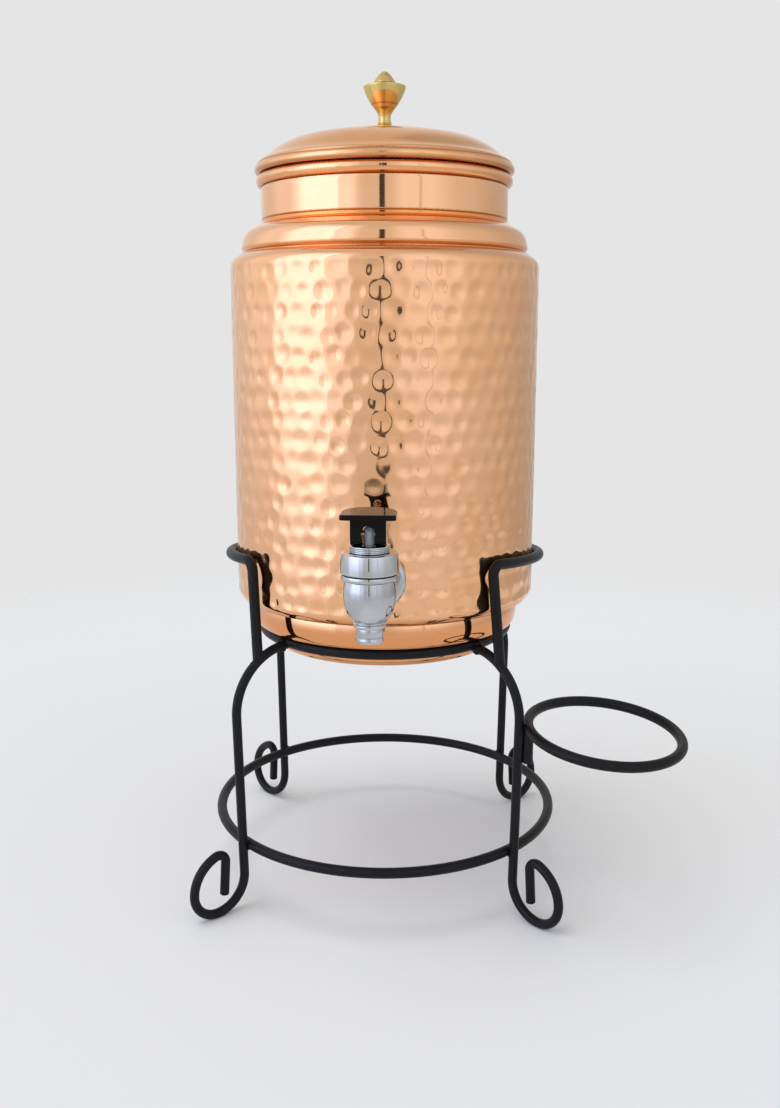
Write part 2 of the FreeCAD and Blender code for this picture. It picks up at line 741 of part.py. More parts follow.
def stem_seal():
    top_z = guide_foot_z + STEM_SEAL_T
    ring = upright(STEM_SEAL_R, guide_foot_z, top_z)
    return on_tap(ring.cut(upright(STEM_R + SLIDE_GAP, guide_foot_z - 1, top_z + 1)))


def lever_cross(radius, half_length):
    """A cylinder on the lever's pivot axis."""
    start = FreeCAD.Vector(-half_length, tap_y, pivot_z)
    return Part.makeCylinder(radius, 2 * half_length, start, FreeCAD.Vector(1, 0, 0))


def tap_stem():
    low_z = plug_top_z - STEM_IN_PLUG
    stem = upright(STEM_R, low_z, stem_top_z - STEM_R)
    dome = Part.makeSphere(STEM_R, flat(0, stem_top_z - STEM_R))
    stem = on_tap(stem.fuse(dome).removeSplitter())
    return stem.cut(lever_cross(LEVER_PIN_R + SLIDE_GAP, 2 * STEM_R))


def seat_plug():
    """Silicone plug that closes the nozzle's bore."""
    plug = upright(PLUG_R, seat_z + SLIDE_GAP, plug_top_z)
    plug = plug.cut(upright(STEM_R, plug_top_z - STEM_IN_PLUG, plug_top_z + 1))
    return on_tap(plug)


def helix_point(turn, height):
    angle = 2 * math.pi * turn
    z = plug_top_z + SPRING_WIRE / 2 + height * turn / SPRING_TURNS
    return FreeCAD.Vector(SPRING_MEAN_R * math.cos(angle), SPRING_MEAN_R * math.sin(angle), z)


def return_spring():
    """Coil between the plug and the guide, as arcs of a quarter turn."""
    bottom_z = plug_top_z
    top_z = guide_foot_z - SLIDE_GAP
    height = top_z - bottom_z - SPRING_WIRE - SLIDE_GAP
    climb = height / SPRING_TURNS / (2 * math.pi)
    edges = []
    for quarter in range(4 * SPRING_TURNS):
        ends = [helix_point((quarter + k) / 4, height) for k in (0, 1)]
        ways = []
        for end in ends:
            ways.append(FreeCAD.Vector(-end.y, end.x, climb).normalize())
        chord = ends[1] - ends[0]
        both = ways[0] + ways[1]
        a = 2 * (1 - ways[0].dot(ways[1]))
        b = 2 * chord.dot(both)
        reach = (-b + math.sqrt(b * b + 4 * a * chord.dot(chord))) / (2 * a)
        tips = [ends[0] + ways[0] * reach, ends[1] - ways[1] * reach]
        joint = (tips[0] + tips[1]) * 0.5
        edges += arc_between(ends[0], tips[0], joint)
        edges += arc_between(joint, tips[1], ends[1])
    return on_tap(rod_along(edges, SPRING_WIRE))


def arc_between(start, tip, end):
    """The arc that leaves start towards tip and reaches end from tip."""
    way_in = (tip - start).normalize()
    way_out = (end - tip).normalize()
    half_turn = way_in.getAngle(way_out) / 2
    radius = (tip - start).Length / math.tan(half_turn)
    inward = (way_out - way_in).normalize()
    middle = tip + inward * (radius / math.cos(half_turn) - radius)
    return [Part.Arc(start, middle, end).toShape()]


def tap_lever():
    """Fork with a round heel and a slot for the stem, under a thumb plate."""
    heel_y = tap_y - HEEL_AHEAD
    back_y = tap_y + FORK_BEHIND
    low_z = pivot_z - HEEL_R
    x = -FORK_W / 2
    front_low = FreeCAD.Vector(x, heel_y, low_z)
    front_mid = FreeCAD.Vector(x, heel_y - HEEL_R * math.sin(math.pi / 4),
                               pivot_z - HEEL_R * math.cos(math.pi / 4))
    front_high = FreeCAD.Vector(x, heel_y - HEEL_R, pivot_z)
    front_top = FreeCAD.Vector(x, heel_y - HEEL_R, plate_z)
    back_top = FreeCAD.Vector(x, back_y, plate_z)
    back_low = FreeCAD.Vector(x, back_y, low_z)
    side = rounded_edges([front_high, front_top, back_top, back_low, front_low], [0, 0, FORK_CORNER])
    side.append(Part.Arc(front_low, front_mid, front_high).toShape())
    fork = Part.Face(Part.Wire(Part.__sortEdges__(side))).extrude(FreeCAD.Vector(FORK_W, 0, 0))
    slot_half = STEM_R + FORK_SLOT_GAP
    arch_z = stem_top_z + SLOT_ABOVE_STEM - slot_half
    depth = HEEL_AHEAD + HEEL_R + FORK_BEHIND
    slot_y = heel_y - HEEL_R
    slot = Part.makeBox(2 * slot_half, depth, arch_z - low_z,
                        FreeCAD.Vector(-slot_half, slot_y, low_z))
    arch = Part.makeCylinder(slot_half, depth, FreeCAD.Vector(0, slot_y, arch_z),
                             FreeCAD.Vector(0, 1, 0))
    fork = fork.cut(slot.fuse(arch))
    return fork.fuse(thumb_plate()).removeSplitter().cut(
        lever_cross(LEVER_PIN_R + SLIDE_GAP / 2, FORK_W))


def thumb_plate():
    """Flat plate with a straight front edge and a round back."""
    half = PLATE_W / 2
    front_y = tap_y - PLATE_AHEAD
    points = [
        FreeCAD.Vector(half, tap_y, plate_z),
        FreeCAD.Vector(half, front_y, plate_z),
        FreeCAD.Vector(-half, front_y, plate_z),
        FreeCAD.Vector(-half, tap_y, plate_z),
    ]
    edges = rounded_edges(points, [PLATE_CORNER, PLATE_CORNER])
    back = FreeCAD.Vector(0, tap_y + half, plate_z)
    edges.append(Part.Arc(points[3], back, points[0]).toShape())
    plate = Part.Face(Part.Wire(Part.__sortEdges__(edges))).extrude(FreeCAD.Vector(0, 0, PLATE_T))
    rim = [e for e in plate.Edges if e.BoundBox.ZMin > plate_z + PLATE_T - 0.01]
    return plate.makeFillet(PLATE_EDGE, rim)


def lever_pin():
    return lever_cross(LEVER_PIN_R, FORK_W / 2 - LEVER_PIN_INSET)


def build():
    legs = {
        "leg_front_left": leg(-FRONT_LEG_AZIMUTH),
        "leg_front_right": leg(FRONT_LEG_AZIMUTH),
        "leg_back_left": leg(-BACK_LEG_AZIMUTH),
        "leg_back_right": leg(BACK_LEG_AZIMUTH),
    }
    front_legs = [legs["leg_front_left"], legs["leg_front_right"]]
    ring = glass_ring()
    nodes = {
        "seat_ring": seat_ring(),
        "foot_ring": foot_ring(),
        "guard_hoop": guard_hoop(front_legs),
        "glass_ring": ring,
        "glass_ring_post": glass_post(ring, legs["leg_front_right"]),
        "tank_wall": tank_wall(),
        "tank_base": tank_base(),
        "tank_shoulder": tank_shoulder(),
        "lid_dome": lid_dome(),
        "lid_skirt": lid_skirt(),
        "lid_knob": lid_knob(),
        "knob_washer": knob_washer(),
        "knob_screw": knob_screw(),
        "screw_washer": screw_washer(),
        "tap_body": tap_body(),
        "tap_flange": tap_flange(),
        "outer_gasket": outer_gasket(),
        "inner_gasket": inner_gasket(),
        "lock_nut": lock_nut(),
        "tap_bonnet": tap_bonnet(),
        "bonnet_seal": bonnet_seal(),
        "stem_guide": stem_guide(),
        "stem_seal": stem_seal(),
        "tap_stem": tap_stem(),
        "seat_plug": seat_plug(),
        "return_spring": return_spring(),
        "tap_lever": tap_lever(),
        "lever_pin": lever_pin(),
    }
    nodes.update(legs)
    return nodes


def main():
    os.makedirs("parts", exist_ok=True)
    for name, shape in build().items():
        shape.exportStep(os.path.join("parts", name + ".step"))
        print(name, "solids", len(shape.Solids), "valid", shape.isValid(),
              "volume", round(shape.Volume, 1))


main()
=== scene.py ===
import json
import math
import random

import bmesh
import bpy
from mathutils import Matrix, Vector, noise


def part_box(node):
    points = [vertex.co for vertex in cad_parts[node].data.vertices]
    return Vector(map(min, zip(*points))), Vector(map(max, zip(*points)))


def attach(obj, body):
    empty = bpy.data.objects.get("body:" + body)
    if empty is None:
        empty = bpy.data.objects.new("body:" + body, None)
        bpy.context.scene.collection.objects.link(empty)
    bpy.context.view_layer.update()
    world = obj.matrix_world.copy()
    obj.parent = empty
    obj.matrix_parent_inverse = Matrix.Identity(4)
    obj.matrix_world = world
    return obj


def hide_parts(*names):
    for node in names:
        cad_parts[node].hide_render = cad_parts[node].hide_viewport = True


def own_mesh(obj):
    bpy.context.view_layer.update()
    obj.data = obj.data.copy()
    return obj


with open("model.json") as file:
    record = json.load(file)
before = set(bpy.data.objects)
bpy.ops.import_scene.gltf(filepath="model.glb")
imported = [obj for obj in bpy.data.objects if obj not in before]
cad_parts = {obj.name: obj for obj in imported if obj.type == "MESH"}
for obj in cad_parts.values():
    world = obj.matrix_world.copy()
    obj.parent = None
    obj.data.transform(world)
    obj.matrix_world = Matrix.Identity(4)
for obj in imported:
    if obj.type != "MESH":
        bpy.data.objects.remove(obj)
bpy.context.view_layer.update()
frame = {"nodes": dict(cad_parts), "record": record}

# Metres and degrees. An azimuth is counted from -Y, where the tap points, towards +X.
MM = 0.001
SEED = 11

# Camera, at the photograph's viewing angle
CAMERA_AZIMUTH = 3.2
CAMERA_DISTANCE = 0.666
CAMERA_HEIGHT = 0.33175
CAMERA_SIDE = 0.0031
CAMERA_PITCH = 11.35
CAMERA_LENS = 35.71
CAMERA_SENSOR = 36.0

# Surroundings: the backdrop's tone, and soft panels round the object
BACKDROP = 0.783
FLOOR_COLOUR = (0.742, 0.742, 0.722)
FLOOR_FULL_R = 0.55
FLOOR_END_R = 1.0
SUN_LIGHT = 0.24
SUN_ANGLE = 32.0
SUN_WAY = (0.22, 0.10, -1.0)
# the room's tone from low to high: elevation and tone
ROOM_LOW = (-14.0, 0.69)
ROOM_MIDDLE = (14.0, 0.83)
ROOM_HIGH = (78.0, 0.72)
# azimuth where a panel starts and ends, softness of both ends, strength
PANELS = [
    (-118.0, -80.0, 26.0, 22.0, 0.24),
    (-82.0, -38.5, 22.0, 2.5, 1.05),
    (-38.5, -22.0, 1.5, 14.0, 0.50),
    (14.0, 58.0, 18.0, 30.0, 0.27),
]
PANEL_TINT = (0.85, 1.0, 1.50)
# elevations where the panels start and are full, and how much of them is left below
PANEL_FOOT = (-15.0, 3.0, 0.32)
PANEL_HIGH = 44.0
PANEL_EDGE = 24.0
# the far right is darker: azimuths where that starts, is full, starts to end and ends, and the
# light it leaves
DUSK = (62.0, 140.0, 155.0, 180.0, 0.70)
# azimuth and half width of a dark gap between panels, and how much light it leaves
GAPS = [(1.2, 1.9, 0.08), (35.6, 1.2, 0.75)]
GAP_LOW = -7.0
GAP_HIGH = 33.0
GAP_SOFT = 2.0


def heights(node):
    """The lowest and highest point of a solid, in millimetres."""
    low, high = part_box(node)
    return low[2] / MM, high[2] / MM


# Pot: outside shapes, from the solids' own places
SHEET = 0.9
WALL_R = 90.0
WALL_FOOT_IN = 3.0
WALL_FOOT_RISE = 4.5
WALL_FOOT_LIP_R = 79.2
WALL_TOP_DROP = 4.3
WALL_TOP_R = 84.0
WALL_TOP_LIP_R = 81.4
WALL_ROUNDS = [3.0, 6.0, 7.0, 1.5]
BAND_R = 81.0
BAND_FOOT_IN = 4.2
BASE_R = 70.7
BASE_DROP = 12.4
SHOULDER_R = 83.2
NECK_R = 71.4
LID_RIM_R = 74.8
LID_BEAD_R = 2.6
LID_EDGE_DROP = 20.4
BASE_LOW_Z = heights("tank_base")[0]
POT_Z = BASE_LOW_Z + BASE_DROP
WALL_Z, WALL_TOP_Z = heights("tank_wall")
RIM_TOP_Z = heights("tank_shoulder")[1]
LID_TOP_Z = heights("lid_dome")[1]
KNOB_Z = heights("lid_knob")[0]
TAP_Z = sum(heights("tap_flange")) / 2
NECK_Z = WALL_TOP_Z + 17.4
RIM_ROLL = 6.6
SEAT_R = 74.9
WALL_HOLE_R = 8.6

# Unevenness of worked sheet: its size, and how fast it changes round the piece and upwards
WAVES = (1.6, 0.02)
SEED_GAP = 7.3
BEAD_LUMPS = 0.07
BEAD_WAVES = (30, 0.35)
NECK_STREAKS = 0.045
STREAK_WAVES = (9, 0.012)
WELD_LUMPS = 0.28

# Tap: outside shapes, from the solids' own places
TAP_Y = (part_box("stem_guide")[0][1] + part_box("stem_guide")[1][1]) / 2 / MM
NOZZLE_Z = heights("tap_body")[0]
SPIGOT_TOP_Z = heights("tap_body")[1]
BONNET_Z, BONNET_TOP_Z = heights("tap_bonnet")
GUIDE_FOOT_Z, GUIDE_TOP_Z = heights("stem_guide")
BORE_R = 4.8
CHAMBER_R = 9.5
CHAMBER_Z = TAP_Z - 8.5
SHANK_R = 8.0
SHANK_TAIL = 22.0
THREAD_PITCH = 1.5
THREAD_DEPTH = 0.45
GUIDE_R = 10.4
GUIDE_RIDGES = 4
SPRING_R = 4.8
SPRING_WIRE_R = 0.5
SPRING_TURNS = 6
SPRING_STEPS = 40
SPRING_SIDES = 12

# Hammering
DIMPLES_ROUND = 54
DIMPLE_ROWS = 17
DIMPLE_R = 6.1
DIMPLE_DEPTH = 0.60
DIMPLE_LOW_Z = WALL_Z + 9.5
DIMPLE_HIGH_Z = WALL_TOP_Z - 11.5
# how far a row turns and a mark strays, as shares of the pitch, and a mark's stray up or down
ROW_TURN = 0.16
MARK_TURN = 0.15
MARK_RISE = 1.5
# least and greatest share of a mark's radius, of its depth and of its width
MARK_SIZES = (0.84, 1.14)
MARK_DEPTHS = (0.45, 1.3)
MARK_WIDTHS = (0.88, 1.12)
# the hammering is shallower in a patch above the tap
CALM_HALF_W = 13.0
CALM_LOW_Z = TAP_Z + 22.0
CALM_HIGH_Z = TAP_Z + 64.0
CALM_DEPTH = 0.3
WALL_COLUMNS = 480
WALL_STEP = 1.25
INNER_STEP = 2.6
DENTED_R = WALL_R - SHEET - 1.2
INNER_DENTS = 0.9
UNEVEN_R = 85.0
WALL_UNEVEN = 0.22
WALL_SEED = 3

# Patterns in a surface: scale per millimetre, detail and roughness
WARM_PATCHES = (0.035, 3.0, 0.55)
FINE_SPECKS = (0.9, 5.0, 0.7)
RUBBING = (1.0, 4.0, 0.6)
RUBBING_STRETCH = (0.05, 0.05, 1.6)
TONE_PATCHES = (0.06, 4.0, 0.55)
GRAIN = (3.0, 0.55)
# strength and depth of the fine relief that spinning, or else rubbing, leaves in metal
SPUN_RELIEF = (0.06, 0.03)
RUBBED_RELIEF = (0.05, 0.02)

# Copper, where it is bright and where it is deeper
COPPER_LIGHT = (0.93, 0.53, 0.295)
COPPER_DEEP = (0.90, 0.48, 0.245)
SATIN_LIGHT = (0.895, 0.485, 0.240)
SATIN_DEEP = (0.865, 0.435, 0.195)
# Colours of painted shade and painted reflection in creases: gold and red stand for copper reflected in
# copper and for dim reflections, brown for shade
SHADE_GOLD = (0.92, 0.34, 0.085)
SHADE_RED = (0.78, 0.30, 0.10)
SHADE_BROWN = (0.40, 0.13, 0.035)
BRASS_LIGHT = (0.83, 0.62, 0.25)
BRASS_DEEP = (0.62, 0.43, 0.13)

# Creases with painted shade and painted reflection, drawn redder or browner: height, half width, softness,
# strength, colour
WALL_CREASE_SHADE = [
    (WALL_Z + 0.5, 1.5, 4.0, 0.70, SHADE_RED),
    (WALL_Z, 0.7, 1.3, 0.90, SHADE_BROWN),
    (WALL_TOP_Z, 0.5, 0.8, 0.70, SHADE_BROWN),
]
POT_CREASE_SHADE = [
    (NECK_Z, 1.7, 0.9, 0.90, SHADE_GOLD),
    (NECK_Z + 1.5, 0.2, 0.5, 0.75, SHADE_BROWN),
    (WALL_TOP_Z + 1.2, 1.2, 1.6, 0.60, SHADE_GOLD),
    (WALL_TOP_Z - 0.1, 0.3, 0.5, 0.65, SHADE_BROWN),
    (RIM_TOP_Z - RIM_ROLL + 1.4, 0.8, 1.2, 0.55, SHADE_GOLD),
    (RIM_TOP_Z - RIM_ROLL, 0.3, 0.6, 0.75, SHADE_BROWN),
    (RIM_TOP_Z - 0.6, 0.6, 1.5, 0.55, SHADE_RED),
    # painted dark reflection of the seat ring and the floor on the band
    ((POT_Z + WALL_Z) / 2 - 4.0, 4.0, 7.0, 0.75, SHADE_RED),
    (WALL_Z, 0.8, 1.2, 0.90, SHADE_BROWN),
    (BASE_LOW_Z, 3.0, 9.0, 0.65, SHADE_RED),
]
LID_CREASE_SHADE = [
    (LID_TOP_Z - LID_EDGE_DROP, 0.3, 0.5, 0.60, SHADE_BROWN),
    (LID_TOP_Z - LID_EDGE_DROP - 5.0, 0.7, 1.5, 0.60, SHADE_BROWN),
]
# painted shade where the knob's cup meets its foot and its crown, and under its foot
KNOB_CREASE_SHADE = [
    (KNOB_Z + 13.1, 0.2, 0.4, 0.70, SHADE_BROWN),
    (KNOB_Z + 24.1, 0.2, 0.5, 0.90, SHADE_BROWN),
    (KNOB_Z, 0.4, 0.9, 0.70, SHADE_BROWN),
]

# Metals: light and deep colour, least and greatest roughness, whether it was spun, creases with painted
# shade and painted reflection
METALS = {
    "copper_hammered": (COPPER_LIGHT, COPPER_DEEP, (0.05, 0.10), False, WALL_CREASE_SHADE),
    "copper_smooth": (COPPER_LIGHT, COPPER_DEEP, (0.035, 0.07), True, POT_CREASE_SHADE),
    "copper_satin": (SATIN_LIGHT, SATIN_DEEP, (0.10, 0.20), True, LID_CREASE_SHADE),
    "knob_brass": (BRASS_LIGHT, BRASS_DEEP, (0.10, 0.18), True, KNOB_CREASE_SHADE),
}
# Other surfaces: colour, least and greatest roughness, grain size, its strength and depth,
# metallic share, gloss
PAINTS = {
    "rod_black": ((0.006, 0.006, 0.007), (0.34, 0.48), 0.8, 0.35, 0.08, 0.0, 0.18),
    "tap_chrome": ((0.51, 0.52, 0.53), (0.02, 0.05), 6.0, 0.05, 0.03, 1.0, 0.5),
    "gasket_rubber": ((0.035, 0.035, 0.035), (0.6, 0.75), 0.5, 0.4, 0.05, 0.0, 0.5),
    "nut_plastic": ((0.80, 0.80, 0.77), (0.35, 0.5), 0.7, 0.2, 0.04, 0.0, 0.5),
    "spring_steel": ((0.60, 0.60, 0.61), (0.22, 0.34), 0.4, 0.25, 0.03, 1.0, 0.5),
    "stem_grey": ((0.66, 0.69, 0.74), (0.35, 0.5), 0.5, 0.3, 0.04, 0.0, 0.5),
    "plug_silicone": ((0.72, 0.72, 0.71), (0.45, 0.6), 0.6, 0.2, 0.04, 0.0, 0.5),
    "lever_black": ((0.004, 0.0035, 0.0035), (0.05, 0.10), 1.4, 0.10, 0.04, 0.0, 0.12),
}

rng = random.Random(SEED)


# Shader nodes

def empty_tree(owner):
    """The cleared node tree of a material or of the world."""
    owner.use_nodes = True
    owner.node_tree.nodes.clear()
    return owner.node_tree


def add(tree, kind, inputs=None, **settings):
    """A node with its settings, and its inputs as plain values or as other nodes' outputs."""
    node = tree.nodes.new("ShaderNode" + kind)
    for key, value in settings.items():
        setattr(node, key, value)
    for key, value in (inputs or {}).items():
        if isinstance(value, bpy.types.NodeSocket):
            tree.links.new(value, node.inputs[key])
        else:
            node.inputs[key].default_value = value
    return node


def new_material(name):
    """A material with its tree and its one shader."""
    material = bpy.data.materials.new(name)
    tree = empty_tree(material)
    shader = add(tree, "BsdfPrincipled")
    add(tree, "OutputMaterial", {"Surface": shader.outputs["BSDF"]})
    return material, tree, shader


def maths(tree, operation, *values):
    """One sum of plain values or other nodes' outputs."""
    node = add(tree, "Math", dict(enumerate(values)), operation=operation)
    return node.outputs[0]


def object_place(tree, stretch=(1, 1, 1)):
    """Texture space in millimetres, stretched along each axis."""
    local = add(tree, "TexCoord").outputs["Object"]
    mapping = add(tree, "Mapping", {"Vector": local, "Scale": [share / MM for share in stretch]})
    return mapping.outputs["Vector"]


def noise_value(tree, spot, scale, detail, roughness):
    """Cloudy pattern from about 0.3 to 0.7."""
    texture = add(tree, "TexNoise", {"Vector": spot, "Scale": scale, "Detail": detail,
                                     "Roughness": roughness})
    return texture.outputs["Fac"]


def remap(tree, value, low, high, to_low, to_high):
    """The value moved from one range to another, and held there."""
    node = add(tree, "MapRange", {"Value": value, "From Min": low, "From Max": high,
                                  "To Min": to_low, "To Max": to_high})
    return node.outputs["Result"]


def smooth_edge(tree, value, start, end):
    """Rises softly from nothing at start to one at end."""
    node = add(tree, "MapRange", {"Value": value, "From Min": start, "From Max": end,
                                  "To Min": 0.0, "To Max": 1.0},
               interpolation_type="SMOOTHSTEP")
    return node.outputs["Result"]


def blend_colours(tree, factor, first, second):
    """A mix of two colours, each a plain one or another node's output."""
    node = add(tree, "Mix", data_type="RGBA")
    tree.links.new(factor, node.inputs["Factor"])
    for socket, colour in ((node.inputs[6], first), (node.inputs[7], second)):
        if isinstance(colour, bpy.types.NodeSocket):
            tree.links.new(colour, socket)
        else:
            socket.default_value = (*colour, 1)
    return node.outputs[2]


def bump(tree, shader, height, strength, distance_mm):
    """Fine relief on a shader, from a pattern."""
    node = add(tree, "Bump", {"Height": height, "Strength": strength, "Distance": distance_mm * MM})
    tree.links.new(node.outputs["Normal"], shader.inputs["Normal"])


def metal(name, light, deep, roughness, spun, crease_shade):
    """Polished sheet or turned metal: warm patches, fine rubbing lines, and creases with painted shade and
    painted reflection.

    A crease is (height, half width, softness, strength, colour), in millimetres.
    """
    material, tree, shader = new_material(name)
    spot = object_place(tree)
    patches = noise_value(tree, spot, *WARM_PATCHES)
    specks = noise_value(tree, spot, *FINE_SPECKS)
    mixed = maths(tree, "ADD", patches, maths(tree, "MULTIPLY", specks, 0.25))
    colour = blend_colours(tree, remap(tree, mixed, 0.45, 0.85, 0.0, 1.0), light, deep)
    uneven = maths(tree, "MULTIPLY", maths(tree, "SUBTRACT", specks, 0.5), 1.2)
    height = maths(tree, "ADD", add(tree, "SeparateXYZ", {"Vector": spot}).outputs["Z"], uneven)
    # painted shade and painted reflection: each crease's colour is blended in round its height
    for middle, half, soft, strength, shade_colour in crease_shade:
        away = maths(tree, "ABSOLUTE", maths(tree, "SUBTRACT", height, middle))
        near = maths(tree, "MULTIPLY", smooth_edge(tree, away, half + soft, half), strength)
        colour = blend_colours(tree, near, colour, shade_colour)
    tree.links.new(colour, shader.inputs["Base Color"])
    shader.inputs["Metallic"].default_value = 1.0
    rubbing = noise_value(tree, object_place(tree, RUBBING_STRETCH), *RUBBING)
    gloss = maths(tree, "MULTIPLY", maths(tree, "ADD", rubbing, specks), 0.5)
    tree.links.new(remap(tree, gloss, 0.35, 0.65, *roughness), shader.inputs["Roughness"])
    if spun:
        bump(tree, shader, rubbing, *SPUN_RELIEF)
    else:
        bump(tree, shader, specks, *RUBBED_RELIEF)
    return material


def paint(name, colour, roughness, grain_mm, strength, depth_mm, metallic, gloss):
    """A coated, moulded or machined surface: fine grain, small tone and gloss changes."""
    material, tree, shader = new_material(name)
    spot = object_place(tree)
    tone = noise_value(tree, spot, *TONE_PATCHES)
    grain = noise_value(tree, spot, 1.0 / grain_mm, *GRAIN)
    darker = [channel * 0.86 for channel in colour]
    lighter = [min(channel * 1.12, 1.0) for channel in colour]
    shade = remap(tree, tone, 0.35, 0.65, 0.0, 1.0)
    tree.links.new(blend_colours(tree, shade, darker, lighter), shader.inputs["Base Color"])
    shader.inputs["Metallic"].default_value = metallic
    shader.inputs["Specular IOR Level"].default_value = gloss
    tree.links.new(remap(tree, grain, 0.3, 0.7, *roughness), shader.inputs["Roughness"])
    bump(tree, shader, grain, strength, depth_mm)
    return material


def make_materials():
    """All materials by name: one for each slot, and the lid's satin copper."""
    made = {name: metal(name, *look) for name, look in METALS.items()}
    made.update({name: paint(name, *look) for name, look in PAINTS.items()})
    return made


# Profiles: (radius, height) points in millimetres

def unit(a, b):
    """The direction from one point to the next."""
    length = math.hypot(b[0] - a[0], b[1] - a[1])
    return (b[0] - a[0]) / length, (b[1] - a[1]) / length


def rounded(points, radii, step=5.0):
    """A line through the points, each inner corner drawn as an arc of its own radius."""
    line = [points[0]]
    for before, corner, after, radius in zip(points, points[1:], points[2:], radii):
        way_in = unit(before, corner)
        way_out = unit(corner, after)
        cross = way_in[0] * way_out[1] - way_in[1] * way_out[0]
        turn = math.atan2(cross, way_in[0] * way_out[0] + way_in[1] * way_out[1])
        reach = radius * math.tan(abs(turn) / 2)
        side = 1 if turn > 0 else -1
        start = (corner[0] - way_in[0] * reach, corner[1] - way_in[1] * reach)
        centre = (start[0] - way_in[1] * radius * side, start[1] + way_in[0] * radius * side)
        count = max(2, math.ceil(abs(math.degrees(turn)) / step))
        for i in range(count + 1):
            angle = turn * i / count
            x = start[0] - centre[0]
            z = start[1] - centre[1]
            line.append((centre[0] + x * math.cos(angle) - z * math.sin(angle),
                         centre[1] + x * math.sin(angle) + z * math.cos(angle)))
    line.append(points[-1])
    return line


def offset(points, radii, thickness):
    """The same corners moved to the line's left, with their new radii."""
    ways = [unit(a, b) for a, b in zip(points, points[1:])]
    lefts = [(-way[1], way[0]) for way in ways]
    moved = [(points[0][0] + lefts[0][0] * thickness, points[0][1] + lefts[0][1] * thickness)]
    moved_radii = []
    for i in range(1, len(points) - 1):
        one, other = lefts[i - 1], lefts[i]
        share = thickness / (1 + one[0] * other[0] + one[1] * other[1])
        moved.append((points[i][0] + (one[0] + other[0]) * share,
                      points[i][1] + (one[1] + other[1]) * share))
        turns_left = ways[i][0] * one[0] + ways[i][1] * one[1] > 0
        moved_radii.append(max(radii[i - 1] + (-thickness if turns_left else thickness), 0.1))
    last = points[-1]
    moved.append((last[0] + lefts[-1][0] * thickness, last[1] + lefts[-1][1] * thickness))
    return moved, moved_radii


def evenly(line, longest):
    """The line with points added so that no run is longer than this."""
    out = [line[0]]
    for a, b in zip(line, line[1:]):
        length = math.hypot(b[0] - a[0], b[1] - a[1])
        if length < 1e-4:
            continue
        pieces = max(1, math.ceil(length / longest))
        for i in range(1, pieces + 1):
            out.append((a[0] + (b[0] - a[0]) * i / pieces, a[1] + (b[1] - a[1]) * i / pieces))
    return out


def between(a, b, c, d, t):
    """A smooth curve's value from b at 0 to c at 1, with a before and d after them."""
    return 0.5 * (2 * b + (c - a) * t + (2 * a - 5 * b + 4 * c - d) * t ** 2
                  + (3 * b - a - 3 * c + d) * t ** 3)


def smoothed(points, parts):
    """A smooth curve through the points, with this many parts between two of them."""
    ends = [points[0]] + points + [points[-1]]
    line = []
    for four in zip(ends, ends[1:], ends[2:], ends[3:]):
        for i in range(parts):
            line.append(tuple(between(*values, i / parts) for values in zip(*four)))
    return line + [points[-1]]


def arc_points(centre, radius, start, end, step):
    """Points on an arc, from one angle to the other in degrees."""
    count = max(2, round(abs(end - start) / step))
    line = []
    for i in range(count + 1):
        angle = math.radians(start + (end - start) * i / count)
        line.append((centre[0] + radius * math.cos(angle), centre[1] + radius * math.sin(angle)))
    return line


def raised(line, z):
    """The line with its heights counted from z."""
    return [(radius, z + rise) for radius, rise in line]


# Meshes

def place(angle, radius, z):
    """A point round the pot's axis."""
    return Vector((radius * math.sin(angle), -radius * math.cos(angle), z)) * MM


def link_object(name, data):
    """A new object in the scene."""
    made = bpy.data.objects.new(name, data)
    bpy.context.scene.collection.objects.link(made)
    return made


def finish_mesh(name, bm, material, body, nodes, sharp_degrees=38.0):
    """Makes the piece's object, smooth but for its sharp edges, and hands it to its body."""
    bmesh.ops.recalc_face_normals(bm, faces=bm.faces)
    mesh = bpy.data.meshes.new(name)
    bm.to_mesh(mesh)
    bm.free()
    mesh.shade_smooth()
    mesh.set_sharp_from_angle(angle=math.radians(sharp_degrees))
    mesh.materials.append(material)
    piece = link_object(name, mesh)
    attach(piece, body)
    if nodes:
        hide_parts(*nodes)
    return piece


def unevenness(angle, z, waves, seed=0):
    """A random value from about -1 to 1 that changes slowly round the axis and upwards."""
    turns, climb = waves
    height = z * climb + seed * SEED_GAP
    return noise.noise(Vector((turns * math.cos(angle), turns * math.sin(angle), height)))


def no_shift(angle, radius, z):
    """Leaves a surface as it is."""
    return 0.0


def skin(bm, rings):
    """Faces between each ring of points and the next. A ring of one point is a tip."""
    for low, high in zip(rings, rings[1:]):
        count = max(len(low), len(high))
        for j in range(count):
            k = (j + 1) % count
            corners = [low[j % len(low)], low[k % len(low)], high[k % len(high)], high[j % len(high)]]
            bm.faces.new(list(dict.fromkeys(corners)))


def spin(bm, loop, columns, uneven, seed, closed=True, shift=no_shift, settle=place):
    """Adds a surface of revolution. A loop that starts and ends on the axis is closed there."""
    rings = []
    for radius, z in loop:
        if radius < 1e-4:
            rings.append([bm.verts.new(settle(0, 0, z))])
            continue
        ring = []
        for j in range(columns):
            angle = 2 * math.pi * j / columns
            grow = uneven * unevenness(angle, z, WAVES, seed) + shift(angle, radius, z)
            ring.append(bm.verts.new(settle(angle, radius + grow, z)))
        rings.append(ring)
    skin(bm, rings + rings[:1] if closed else rings)


def lathe(name, loop, material, slot, body, nodes, columns=288, uneven=0.10, **how):
    """A turned piece. The length of its name is the seed of its unevenness."""
    bm = bmesh.new()
    spin(bm, loop, columns, uneven, len(name), **how)
    return finish_mesh(name, bm, material, body, nodes)


